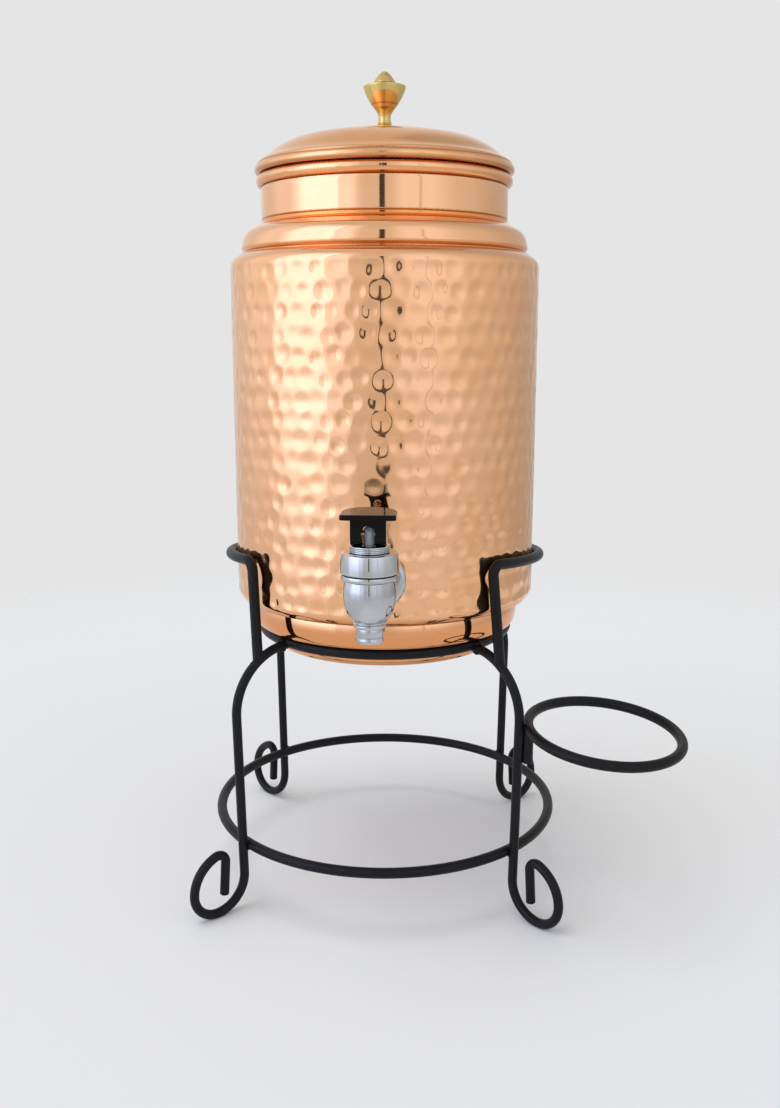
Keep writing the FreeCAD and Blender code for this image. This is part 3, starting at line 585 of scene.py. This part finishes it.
def wall_line():
    """The wall's outside corners from its foot's lip up to its top's lip, and their radii."""
    points = [(WALL_FOOT_LIP_R, WALL_Z), (WALL_R - WALL_FOOT_IN, WALL_Z),
              (WALL_R, WALL_Z + WALL_FOOT_RISE), (WALL_R, WALL_TOP_Z - WALL_TOP_DROP),
              (WALL_TOP_R, WALL_TOP_Z), (WALL_TOP_LIP_R, WALL_TOP_Z)]
    return points, WALL_ROUNDS


def dimple_field():
    """Hammer marks as (angle, z, radius, depth, width share), in uneven staggered rows."""
    marks = []
    step = (DIMPLE_HIGH_Z - DIMPLE_LOW_Z) / (DIMPLE_ROWS - 1)
    pitch = 2 * math.pi / DIMPLES_ROUND
    for row in range(DIMPLE_ROWS):
        shift = rng.uniform(-ROW_TURN, ROW_TURN) + (0.5 if row % 2 else 0.0)
        for i in range(DIMPLES_ROUND):
            angle = (i + shift + rng.uniform(-MARK_TURN, MARK_TURN)) * pitch
            z = DIMPLE_LOW_Z + row * step + rng.uniform(-MARK_RISE, MARK_RISE)
            radius = DIMPLE_R * rng.uniform(*MARK_SIZES)
            depth = DIMPLE_DEPTH * rng.uniform(*MARK_DEPTHS)
            aside = abs((angle + math.pi) % (2 * math.pi) - math.pi) * WALL_R
            if aside < CALM_HALF_W and CALM_LOW_Z < z < CALM_HIGH_Z:
                depth *= CALM_DEPTH
            marks.append((angle, z, radius, depth, rng.uniform(*MARK_WIDTHS)))
    return marks


def dent_map(marks):
    cells = {}
    size = 2.3 * DIMPLE_R
    for mark in marks:
        column = math.floor((mark[0] % (2 * math.pi)) * WALL_R / size)
        cells.setdefault((column, math.floor(mark[1] / size)), []).append(mark)
    return cells, size


def dent_at(cells, size, angle, z):
    """How far the hammer pushed the wall in at this point."""
    columns = math.ceil(2 * math.pi * WALL_R / size)
    turn = angle % (2 * math.pi)
    column = math.floor(turn * WALL_R / size)
    row = math.floor(z / size)
    total = 0.0
    near = [((column + i) % columns, row + k) for i in (-1, 0, 1) for k in (-1, 0, 1)]
    for cell in near:
        for mark_angle, mark_z, radius, depth, width in cells.get(cell, ()):
            gap = (turn - mark_angle + math.pi) % (2 * math.pi) - math.pi
            across = gap * WALL_R / width
            share = (across * across + (z - mark_z) ** 2) / (radius * radius)
            if share < 1:
                total += depth * (1 - share) ** 2
    return total


def build_wall(material):
    """Hammered wall with both its sides, its lips and the tap's hole."""
    points, radii = wall_line()
    inner, inner_radii = offset(points, radii, SHEET)
    outside = evenly(rounded(points, radii), WALL_STEP)
    inside = evenly(rounded(inner, inner_radii), INNER_STEP)
    cells, size = dent_map(dimple_field())
    bm = bmesh.new()

    def hammered_rows(line, columns, dents):
        """Rings of points along the line, pushed in by this share of the dents."""
        rows = []
        for radius, z in line:
            row = []
            for j in range(columns):
                angle = 2 * math.pi * j / columns
                dent = dent_at(cells, size, angle, z) if radius > DENTED_R else 0.0
                slow = unevenness(angle, z, WAVES, WALL_SEED) if radius > UNEVEN_R else 0.0
                row.append(bm.verts.new(place(angle, radius - dent * dents + WALL_UNEVEN * slow, z)))
            rows.append(row)
        return rows

    outer_rows = hammered_rows(outside, WALL_COLUMNS, 1.0)
    inner_rows = hammered_rows(inside, WALL_COLUMNS // 2, INNER_DENTS)
    skin(bm, outer_rows)
    skin(bm, inner_rows)
    for end in (0, -1):
        wide, narrow = outer_rows[end], inner_rows[end]
        for j in range(len(narrow)):
            k = (j + 1) % len(narrow)
            bm.faces.new((wide[2 * j], wide[2 * j + 1], wide[2 * k], narrow[k], narrow[j]))
    cut_tap_hole(bm)
    return finish_mesh("hammered_wall", bm, material, "pot", ["tank_wall"], 50.0)


def cut_tap_hole(bm):
    """Opens both skins round the tap's shank and joins the two edges."""
    def off_axis(point):
        return math.hypot(point.x, point.z - TAP_Z * MM)

    doomed = [f for f in bm.faces
              if f.calc_center_median().y < 0 and off_axis(f.calc_center_median()) < WALL_HOLE_R * MM]
    bmesh.ops.delete(bm, geom=doomed, context="FACES")
    edges = [e for e in bm.edges if len(e.link_faces) == 1]
    for vert in {v for e in edges for v in e.verts}:
        grow = WALL_HOLE_R * MM / off_axis(vert.co)
        vert.co.x *= grow
        vert.co.z = TAP_Z * MM + (vert.co.z - TAP_Z * MM) * grow
    bmesh.ops.bridge_loops(bm, edges=edges)


def build_base(material):
    """Drawn base, seat step and the band above it, which rolls out and back under the wall."""
    seat = (BAND_R - BAND_FOOT_IN, POT_Z)
    points = [(0.0, BASE_LOW_Z), (BASE_R, BASE_LOW_Z), (BASE_R, POT_Z), seat]
    band = [(4.2, 0.0), (2.8, 0.35), (1.6, 1.3), (0.8, 2.9), (0.25, 5.2), (0.0, 8.0), (0.0, 11.0),
            (0.2, 13.4), (0.6, 15.0), (1.1, WALL_Z - POT_Z)]
    band = [(BAND_R - inward, POT_Z + rise) for inward, rise in band]
    inside = [(0.0, BASE_LOW_Z + SHEET), (BASE_R - SHEET, BASE_LOW_Z + SHEET),
              (BASE_R - SHEET, POT_Z + SHEET), (seat[0], POT_Z + SHEET),
              (BAND_R - 1.3, POT_Z + 4.0), (BAND_R - 1.1 - SHEET, WALL_Z)]
    outside = evenly(rounded(points, [6.0, 1.5]), 3.0) + smoothed(band, 3)[1:]
    loop = outside + evenly(rounded(inside, [5.1, 2.4, 2.0, 6.0]), 4.0)[::-1]
    return lathe("pot_base", loop, material, "copper_smooth", "pot", ["tank_base"], uneven=0.12,
                 closed=False)


def rolled_rim():
    """Outer line of the rim's bead, from its crease up to its crest."""
    low = RIM_TOP_Z - RIM_ROLL
    belly = [(NECK_R - 0.35, low + 0.1), (NECK_R + 0.6, low + 0.1), (NECK_R + 1.6, low + 0.7),
             (NECK_R + 2.35, low + 1.8), (NECK_R + 2.7, low + 3.1), (NECK_R + 2.55, low + 4.4),
             (NECK_R + 2.0, low + 5.4), (NECK_R + 1.2, low + 6.2), (NECK_R + 0.2, RIM_TOP_Z)]
    return smoothed(belly, 4) + [(NECK_R - SHEET, RIM_TOP_Z - SHEET)]


def rolled_edge(angle, radius, z):
    """Upright streaks on the neck, and the small lumps of the rim's hand-rolled bead."""
    above = z - (RIM_TOP_Z - RIM_ROLL)
    if above < 0 and radius > NECK_R - 0.5:
        return NECK_STREAKS * unevenness(angle, z, STREAK_WAVES)
    if radius < NECK_R + 0.4:
        return 0.0
    return BEAD_LUMPS * min(max(above / 1.5, 0.0), 1.0) * unevenness(angle, z, BEAD_WAVES)


def build_shoulder(material):
    """Shoulder with a creased foot, neck with a fine groove above its foot, and the rolled rim."""
    foot = [(SHOULDER_R - 1.0, WALL_TOP_Z), (SHOULDER_R - 1.2, WALL_TOP_Z + 0.6),
            (SHOULDER_R - 0.7, WALL_TOP_Z + 1.5), (SHOULDER_R - 0.1, WALL_TOP_Z + 2.6)]
    crest = [(SHOULDER_R, WALL_TOP_Z + 3.6), (SHOULDER_R - 1.7, WALL_TOP_Z + 11.4),
             (NECK_R, NECK_Z - 0.4), (NECK_R, NECK_Z + 0.6)]
    groove = [(NECK_R + 0.05, NECK_Z + 0.8), (NECK_R - 0.1, NECK_Z + 1.2), (NECK_R - 0.35, NECK_Z + 1.5),
              (NECK_R - 0.1, NECK_Z + 1.9), (NECK_R, NECK_Z + 2.6)]
    outside = smoothed(foot, 3) + evenly(rounded(crest, [9.0, 1.2], 3.0), 1.2) + smoothed(groove, 3)
    outside += evenly([(NECK_R, NECK_Z + 2.8), (NECK_R, RIM_TOP_Z - RIM_ROLL - 0.4)], 2.0)
    inner = [(SHOULDER_R - 1.9, WALL_TOP_Z), (SHOULDER_R - 1.9, WALL_TOP_Z + 3.6),
             (SHOULDER_R - 2.6, WALL_TOP_Z + 10.5), (NECK_R - SHEET, NECK_Z - 0.9),
             (NECK_R - SHEET, RIM_TOP_Z - 2.0)]
    inside = evenly(rounded(inner, [2.0, 8.0, 2.0]), 3.0)[::-1]
    loop = outside + rolled_rim() + inside
    return lathe("pot_shoulder", loop, material, "copper_smooth", "pot", ["tank_shoulder"], columns=360,
                 shift=rolled_edge)


def build_lid(material):
    """Domed lid with a creased flank and a rolled bead at its edge."""
    edge_z = LID_TOP_Z - LID_EDGE_DROP
    centre = (LID_RIM_R - LID_BEAD_R, edge_z - LID_BEAD_R)
    crown = [(LID_RIM_R - 1.3, edge_z), (LID_RIM_R - 5.3, LID_TOP_Z - 17.6),
             (LID_RIM_R - 15.7, LID_TOP_Z - 8.16), (19.0, LID_TOP_Z), (2.1, LID_TOP_Z)]
    radii = [6.0, 36.0, 160.0]
    inner, inner_radii = offset(crown, radii, SHEET)
    flank = [(1.5, 20.3), (1.62, 19.7), (2.15, 19.0), (3.1, 18.45), (4.4, 17.75), (5.8, 16.9), (7.3, 15.72)]
    flank = [(LID_RIM_R - inward, LID_TOP_Z - drop) for inward, drop in flank]
    top = smoothed(flank, 4) + evenly(rounded([flank[-1]] + crown[2:], radii[1:], 2.0), 2.0)
    under = evenly(rounded(inner, inner_radii), 4.0)[::-1]
    bead = arc_points(centre, LID_BEAD_R, 165.0, 415.0, 10.0)
    crease = [(LID_RIM_R - 1.4, LID_TOP_Z - 20.55)]
    loop = bead + crease + top + under[:-1]
    return lathe("lid_cover", loop, material, "copper_smooth", "lid", ["lid_dome"], columns=360)


def build_knob(material):
    """Turned finial: flared foot, waist, cup with a fine rim, and a pointed crown."""
    foot = [(2.05, 0.0), (6.2, 0.0), (6.5, 0.35), (6.35, 0.8), (5.2, 1.5), (4.1, 2.8), (3.6, 4.6),
            (3.5, 6.0), (3.95, 8.0), (5.2, 10.0), (6.5, 11.5), (7.6, 13.0)]
    cup = [(7.65, 13.15), (8.8, 14.8), (10.1, 17.0), (11.2, 19.3), (11.95, 21.4), (12.2, 22.3),
           (12.2, 22.7), (11.8, 23.0), (9.6, 23.45), (7.6, 23.9), (6.75, 24.05)]
    crown = [(6.65, 24.15), (6.5, 24.7), (5.6, 26.2), (4.3, 28.0), (2.9, 29.6), (1.7, 30.6), (0.8, 31.0)]
    socket = [(0.0, 9.0), (2.05, 9.0)]
    loop = socket + smoothed(foot, 3) + smoothed(cup, 3) + smoothed(crown, 3) + [(0.0, 31.1)]
    return lathe("knob_turned", raised(loop, KNOB_Z), material, "knob_brass", "lid", ["lid_knob"],
                 columns=144, uneven=0.05, closed=False)


def on_tap(angle, radius, z):
    """A point round the tap's upright axis."""
    return place(angle, radius, z) + Vector((0, TAP_Y * MM, 0))


def through_wall(angle, radius, out):
    """A point round the shank's level axis, this far out from the pot's axis."""
    return Vector((radius * math.sin(angle), -out, TAP_Z + radius * math.cos(angle))) * MM


def shank_outline():
    """The shank from its threaded end inside the pot to the tap's bowl, with the collar outside."""
    tail = WALL_R - SHANK_TAIL
    collar = WALL_R + 5.25
    end = -TAP_Y - 10.0
    outline = [(5.0, tail), (SHANK_R - 0.9, tail)]
    for i in range(int((SHANK_TAIL - 2.0) / THREAD_PITCH)):
        start = tail + 0.9 + i * THREAD_PITCH
        outline += [(SHANK_R - THREAD_DEPTH, start), (SHANK_R, start + 0.5), (SHANK_R, start + 0.8)]
    outline += [(SHANK_R, WALL_R), (SHANK_R, collar), (9.9, collar), (10.4, collar + 0.4),
                (10.5, collar + 1.2), (10.4, collar + 2.6), (9.9, collar + 3.2), (8.9, collar + 3.6),
                (8.2, collar + 4.6), (SHANK_R, collar + 6.0), (SHANK_R, end), (5.0, end)]
    return outline


def build_tap_body(material):
    """Nozzle with its lip and bead, round bowl, rim and spigot, and the shank through the wall."""
    nozzle = [(BORE_R, 0.0), (6.5, 0.0), (7.1, 0.4), (7.3, 1.2), (7.25, 2.2), (6.95, 2.8), (6.6, 3.05),
              (6.6, 3.4), (6.85, 3.7), (6.9, 5.5), (6.9, 7.3), (6.8, 7.7), (7.7, 7.9), (8.3, 8.3),
              (8.5, 9.0), (8.35, 9.7), (7.9, 10.0), (7.75, 10.2), (7.95, 10.45), (8.3, 10.6),
              (8.45, 10.9), (8.3, 11.15), (8.05, 11.3)]
    bowl = [(8.1, -12.85), (9.3, -12.0), (10.7, -10.1), (12.0, -7.4), (13.0, -4.1), (13.55, -0.5),
            (13.6, 2.9), (13.25, 5.9), (12.7, 8.2)]
    rim = [(12.4, -3.6), (12.55, -3.35), (14.0, -3.3), (14.5, -2.95), (14.7, -2.3), (14.7, -1.3),
           (14.45, -0.7), (13.9, -0.42), (12.6, -0.4), (11.6, -0.4)]
    spigot = [(11.4, BONNET_Z), (11.4, SPIGOT_TOP_Z), (CHAMBER_R, SPIGOT_TOP_Z), (CHAMBER_R, CHAMBER_Z),
              (BORE_R, CHAMBER_Z)]
    outline = raised(nozzle, NOZZLE_Z) + smoothed(raised(bowl, TAP_Z), 4) + raised(rim, BONNET_Z)
    bm = bmesh.new()
    spin(bm, outline + evenly(spigot, 4.0), 144, 0.03, 5, settle=on_tap)
    spin(bm, shank_outline(), 96, 0.02, 6, settle=through_wall)
    return finish_mesh("tap_turned", bm, material, "pot", ["tap_body"], 30.0)


def build_bonnet(material):
    """Turned cap with a fine bevel at its foot and a bright one at its top."""
    outer = [(13.2, 0.0), (14.5, 0.02), (14.95, 0.3), (15.05, 0.8), (15.05, 3.0), (14.95, 5.0),
             (14.75, 7.4), (14.55, 9.3), (14.4, 9.9), (14.1, 10.3), (13.5, 10.55), (12.6, 10.6),
             (7.0, 10.6)]
    roof = SPIGOT_TOP_Z + 1.0
    loop = smoothed(raised(outer, BONNET_Z), 3) + [(7.0, roof), (11.7, roof), (11.7, BONNET_Z + 0.3)]
    return lathe("bonnet_turned", loop, material, "tap_chrome", "pot", ["tap_bonnet"], columns=144,
                 uneven=0.02, settle=on_tap)


def build_guide(material):
    """Guide nut with fine ridges round it."""
    ridge = (GUIDE_TOP_Z - BONNET_TOP_Z - 0.5) / GUIDE_RIDGES
    roof = BONNET_TOP_Z + 0.05
    outline = [(4.8, GUIDE_FOOT_Z), (6.3, GUIDE_FOOT_Z), (6.3, roof), (GUIDE_R - 0.6, roof)]
    for i in range(GUIDE_RIDGES):
        low = BONNET_TOP_Z + 0.15 + i * ridge
        outline += [(GUIDE_R - 0.45, low), (GUIDE_R - 0.05, low + 0.22 * ridge),
                    (GUIDE_R, low + 0.5 * ridge), (GUIDE_R - 0.05, low + 0.78 * ridge)]
    outline += [(GUIDE_R - 0.3, GUIDE_TOP_Z - 0.3), (GUIDE_R - 0.8, GUIDE_TOP_Z), (3.3, GUIDE_TOP_Z),
                (3.3, GUIDE_FOOT_Z + 1.7), (4.8, GUIDE_FOOT_Z + 1.7)]
    return lathe("guide_turned", outline, material, "tap_chrome", "pot", ["stem_guide"], columns=144,
                 uneven=0.0, settle=on_tap)


def build_spring(material):
    """The tap's coil spring."""
    low, high = heights("return_spring")
    steps = SPRING_STEPS * SPRING_TURNS
    rise = high - low - 2 * SPRING_WIRE_R
    bm = bmesh.new()
    rings = []
    for i in range(steps + 1):
        angle = 2 * math.pi * SPRING_TURNS * i / steps
        middle = low + SPRING_WIRE_R + rise * i / steps
        ring = []
        for j in range(SPRING_SIDES):
            turn = 2 * math.pi * j / SPRING_SIDES
            radius = SPRING_R + SPRING_WIRE_R * math.cos(turn)
            ring.append(bm.verts.new(on_tap(angle, radius, middle + SPRING_WIRE_R * math.sin(turn))))
        rings.append(ring)
    skin(bm, rings)
    bm.faces.new(rings[0])
    bm.faces.new(rings[-1])
    spring = finish_mesh("coil_spring", bm, material, "pot", ["return_spring"], 50.0)
    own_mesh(spring)


def weld(bm, spot, size, seed):
    """One lumpy blob of weld metal, with its three half sizes in millimetres."""
    made = bmesh.ops.create_icosphere(bm, subdivisions=3, radius=1.0)["verts"]
    for vert in made:
        lump = 1 + WELD_LUMPS * noise.noise(vert.co * 1.7 + Vector((seed * 3.1, 0, 0)))
        grown = Vector([length * half for length, half in zip(vert.co, size)])
        vert.co = spot + grown * lump * MM


def rod_azimuth(node):
    """Where a leg stands, as an angle from -Y towards +X, in radians."""
    low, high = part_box(node)
    return math.atan2((low[0] + high[0]) / 2, -(low[1] + high[1]) / 2)


def build_welds(material):
    """Small weld beads where the rods meet."""
    bm = bmesh.new()
    seed = 0
    ring_z = sum(heights("seat_ring")) / 2
    foot_z = sum(heights("foot_ring")) / 2
    foot_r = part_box("foot_ring")[1][0] / MM - 3.0
    for node in ("leg_front_left", "leg_front_right", "leg_back_left", "leg_back_right"):
        angle = rod_azimuth(node)
        for radius, z, size in ((SEAT_R + 4.0, ring_z - 3.6, (3.0, 3.0, 1.5)),
                                (SEAT_R + 3.4, ring_z + 1.6, (2.6, 2.6, 1.1)),
                                (foot_r + 2.6, foot_z + 2.5, (2.6, 2.6, 1.2)),
                                (foot_r + 2.6, foot_z - 2.5, (2.6, 2.6, 1.2))):
            seed += 1
            weld(bm, place(angle, radius, z), size, seed)
    return finish_mesh("weld_beads", bm, material, "stand", [])


# Surroundings

def window(tree, value, low, high, edge):
    """One between low and high, and soft outside over the edge's width."""
    rise = smooth_edge(tree, value, low - edge, low)
    fall = smooth_edge(tree, value, high + edge, high)
    return maths(tree, "MULTIPLY", rise, fall)


def panel_light(tree, azimuth, height):
    """Light of the soft panels, which is weaker below the horizon and ends high up."""
    light = 0.0
    for start, end, soft_start, soft_end, strength in PANELS:
        rise = smooth_edge(tree, azimuth, start - soft_start / 2, start + soft_start / 2)
        fall = smooth_edge(tree, azimuth, end + soft_end / 2, end - soft_end / 2)
        panel = maths(tree, "MULTIPLY", maths(tree, "MULTIPLY", rise, fall), strength)
        light = maths(tree, "ADD", panel, light)
    foot_low, foot_high, foot_left = PANEL_FOOT
    foot = smooth_edge(tree, height, foot_low, foot_high)
    light = maths(tree, "MULTIPLY", light, maths(tree, "MULTIPLY_ADD", foot, 1.0 - foot_left, foot_left))
    return maths(tree, "MULTIPLY", light, smooth_edge(tree, height, PANEL_HIGH + PANEL_EDGE, PANEL_HIGH))


def room_light(tree, azimuth, height):
    """The room's own tone from low to high, darker on the far right."""
    lower = smooth_edge(tree, height, ROOM_LOW[0], ROOM_MIDDLE[0])
    upper = smooth_edge(tree, height, ROOM_MIDDLE[0], ROOM_HIGH[0])
    level = maths(tree, "MULTIPLY_ADD", lower, ROOM_MIDDLE[1] - ROOM_LOW[1], ROOM_LOW[1])
    level = maths(tree, "MULTIPLY_ADD", upper, ROOM_HIGH[1] - ROOM_MIDDLE[1], level)
    start, full, start_to_end, end, left = DUSK
    dusk = maths(tree, "MULTIPLY", smooth_edge(tree, azimuth, start, full),
                 smooth_edge(tree, azimuth, end, start_to_end))
    return maths(tree, "MULTIPLY", level, maths(tree, "MULTIPLY_ADD", dusk, left - 1.0, 1.0))


def gap_light(tree, azimuth, height):
    """The share of light that the dark gaps leave."""
    left = 1.0
    for middle, half, kept in GAPS:
        away = maths(tree, "ABSOLUTE", maths(tree, "SUBTRACT", azimuth, middle))
        dark = smooth_edge(tree, away, half * 1.2, half * 0.8)
        dark = maths(tree, "MULTIPLY", dark, window(tree, height, GAP_LOW, GAP_HIGH, GAP_SOFT))
        left = maths(tree, "MULTIPLY", maths(tree, "MULTIPLY_ADD", dark, kept - 1.0, 1.0), left)
    return left


def build_world():
    """A light room with soft panels and narrow dark gaps. The camera sees a plain backdrop."""
    world = bpy.data.worlds.new("studio")
    bpy.context.scene.world = world
    tree = empty_tree(world)
    way = add(tree, "SeparateXYZ", {"Vector": add(tree, "TexCoord").outputs["Generated"]}).outputs
    back = maths(tree, "MULTIPLY", way["Y"], -1.0)
    azimuth = maths(tree, "DEGREES", maths(tree, "ARCTAN2", way["X"], back))
    height = maths(tree, "DEGREES", maths(tree, "ARCSINE", way["Z"]))
    panels = add(tree, "VectorMath", {0: PANEL_TINT, "Scale": panel_light(tree, azimuth, height)},
                 operation="SCALE")
    total = add(tree, "VectorMath", {0: panels.outputs[0], 1: room_light(tree, azimuth, height)},
                operation="ADD")
    room = add(tree, "VectorMath", {0: total.outputs[0], "Scale": gap_light(tree, azimuth, height)},
               operation="SCALE")
    seen = add(tree, "LightPath").outputs["Is Camera Ray"]
    colour = blend_colours(tree, seen, room.outputs[0], (BACKDROP, BACKDROP, BACKDROP))
    shader = add(tree, "Background", {"Color": colour, "Strength": 1.0})
    add(tree, "OutputWorld", {"Surface": shader.outputs["Background"]})


def build_floor():
    """A plain pale disc that fades into the backdrop at its rim."""
    bm = bmesh.new()
    bmesh.ops.create_circle(bm, cap_ends=True, radius=FLOOR_END_R, segments=96)
    mesh = bpy.data.meshes.new("floor")
    bm.to_mesh(mesh)
    bm.free()
    material = bpy.data.materials.new("floor")
    tree = empty_tree(material)
    way = add(tree, "SeparateXYZ", {"Vector": add(tree, "TexCoord").outputs["Object"]}).outputs
    squares = maths(tree, "ADD", maths(tree, "POWER", way["X"], 2.0), maths(tree, "POWER", way["Y"], 2.0))
    fade = smooth_edge(tree, maths(tree, "SQRT", squares), FLOOR_FULL_R, FLOOR_END_R)
    diffuse = add(tree, "BsdfDiffuse", {"Color": (*FLOOR_COLOUR, 1)})
    clear = add(tree, "BsdfTransparent")
    both = add(tree, "MixShader", {0: fade, 1: diffuse.outputs[0], 2: clear.outputs[0]})
    add(tree, "OutputMaterial", {"Surface": both.outputs[0]})
    mesh.materials.append(material)
    link_object("floor", mesh)


def build_sun():
    """Soft light from overhead, a little from the left and the front."""
    data = bpy.data.lights.new("overhead", "SUN")
    data.energy = SUN_LIGHT * math.pi
    data.angle = math.radians(SUN_ANGLE)
    sun = link_object("overhead", data)
    sun.rotation_euler = Vector(SUN_WAY).to_track_quat("-Z", "Y").to_euler()
    sun.visible_glossy = False


def build_camera():
    """Looks from in front of the tap, a little to its right and down."""
    data = bpy.data.cameras.new("camera")
    data.lens = CAMERA_LENS
    data.sensor_width = CAMERA_SENSOR
    data.sensor_fit = "AUTO"
    camera = link_object("camera", data)
    angle = math.radians(CAMERA_AZIMUTH)
    camera.location = (CAMERA_DISTANCE * math.sin(angle) + CAMERA_SIDE * math.cos(angle),
                       -CAMERA_DISTANCE * math.cos(angle) + CAMERA_SIDE * math.sin(angle),
                       CAMERA_HEIGHT)
    camera.rotation_euler = (math.radians(90 - CAMERA_PITCH), 0.0, angle)
    bpy.context.scene.camera = camera


def dress_nodes(materials):
    """Gives every solid its slot's material."""
    for part in frame["record"]["subparts"]:
        node = frame["nodes"][part["node"]]
        node.data.materials.clear()
        node.data.materials.append(materials[part["material_slot"]])


bpy.context.scene.view_settings.view_transform = "Standard"
materials = make_materials()
dress_nodes(materials)
build_wall(materials["copper_hammered"])
build_base(materials["copper_smooth"])
build_shoulder(materials["copper_smooth"])
build_lid(materials["copper_satin"])
build_knob(materials["knob_brass"])
build_tap_body(materials["tap_chrome"])
build_bonnet(materials["tap_chrome"])
build_guide(materials["tap_chrome"])
build_spring(materials["spring_steel"])
build_welds(materials["rod_black"])
build_world()
build_floor()
build_sun()
build_camera()

bpy.context.view_layer.update()
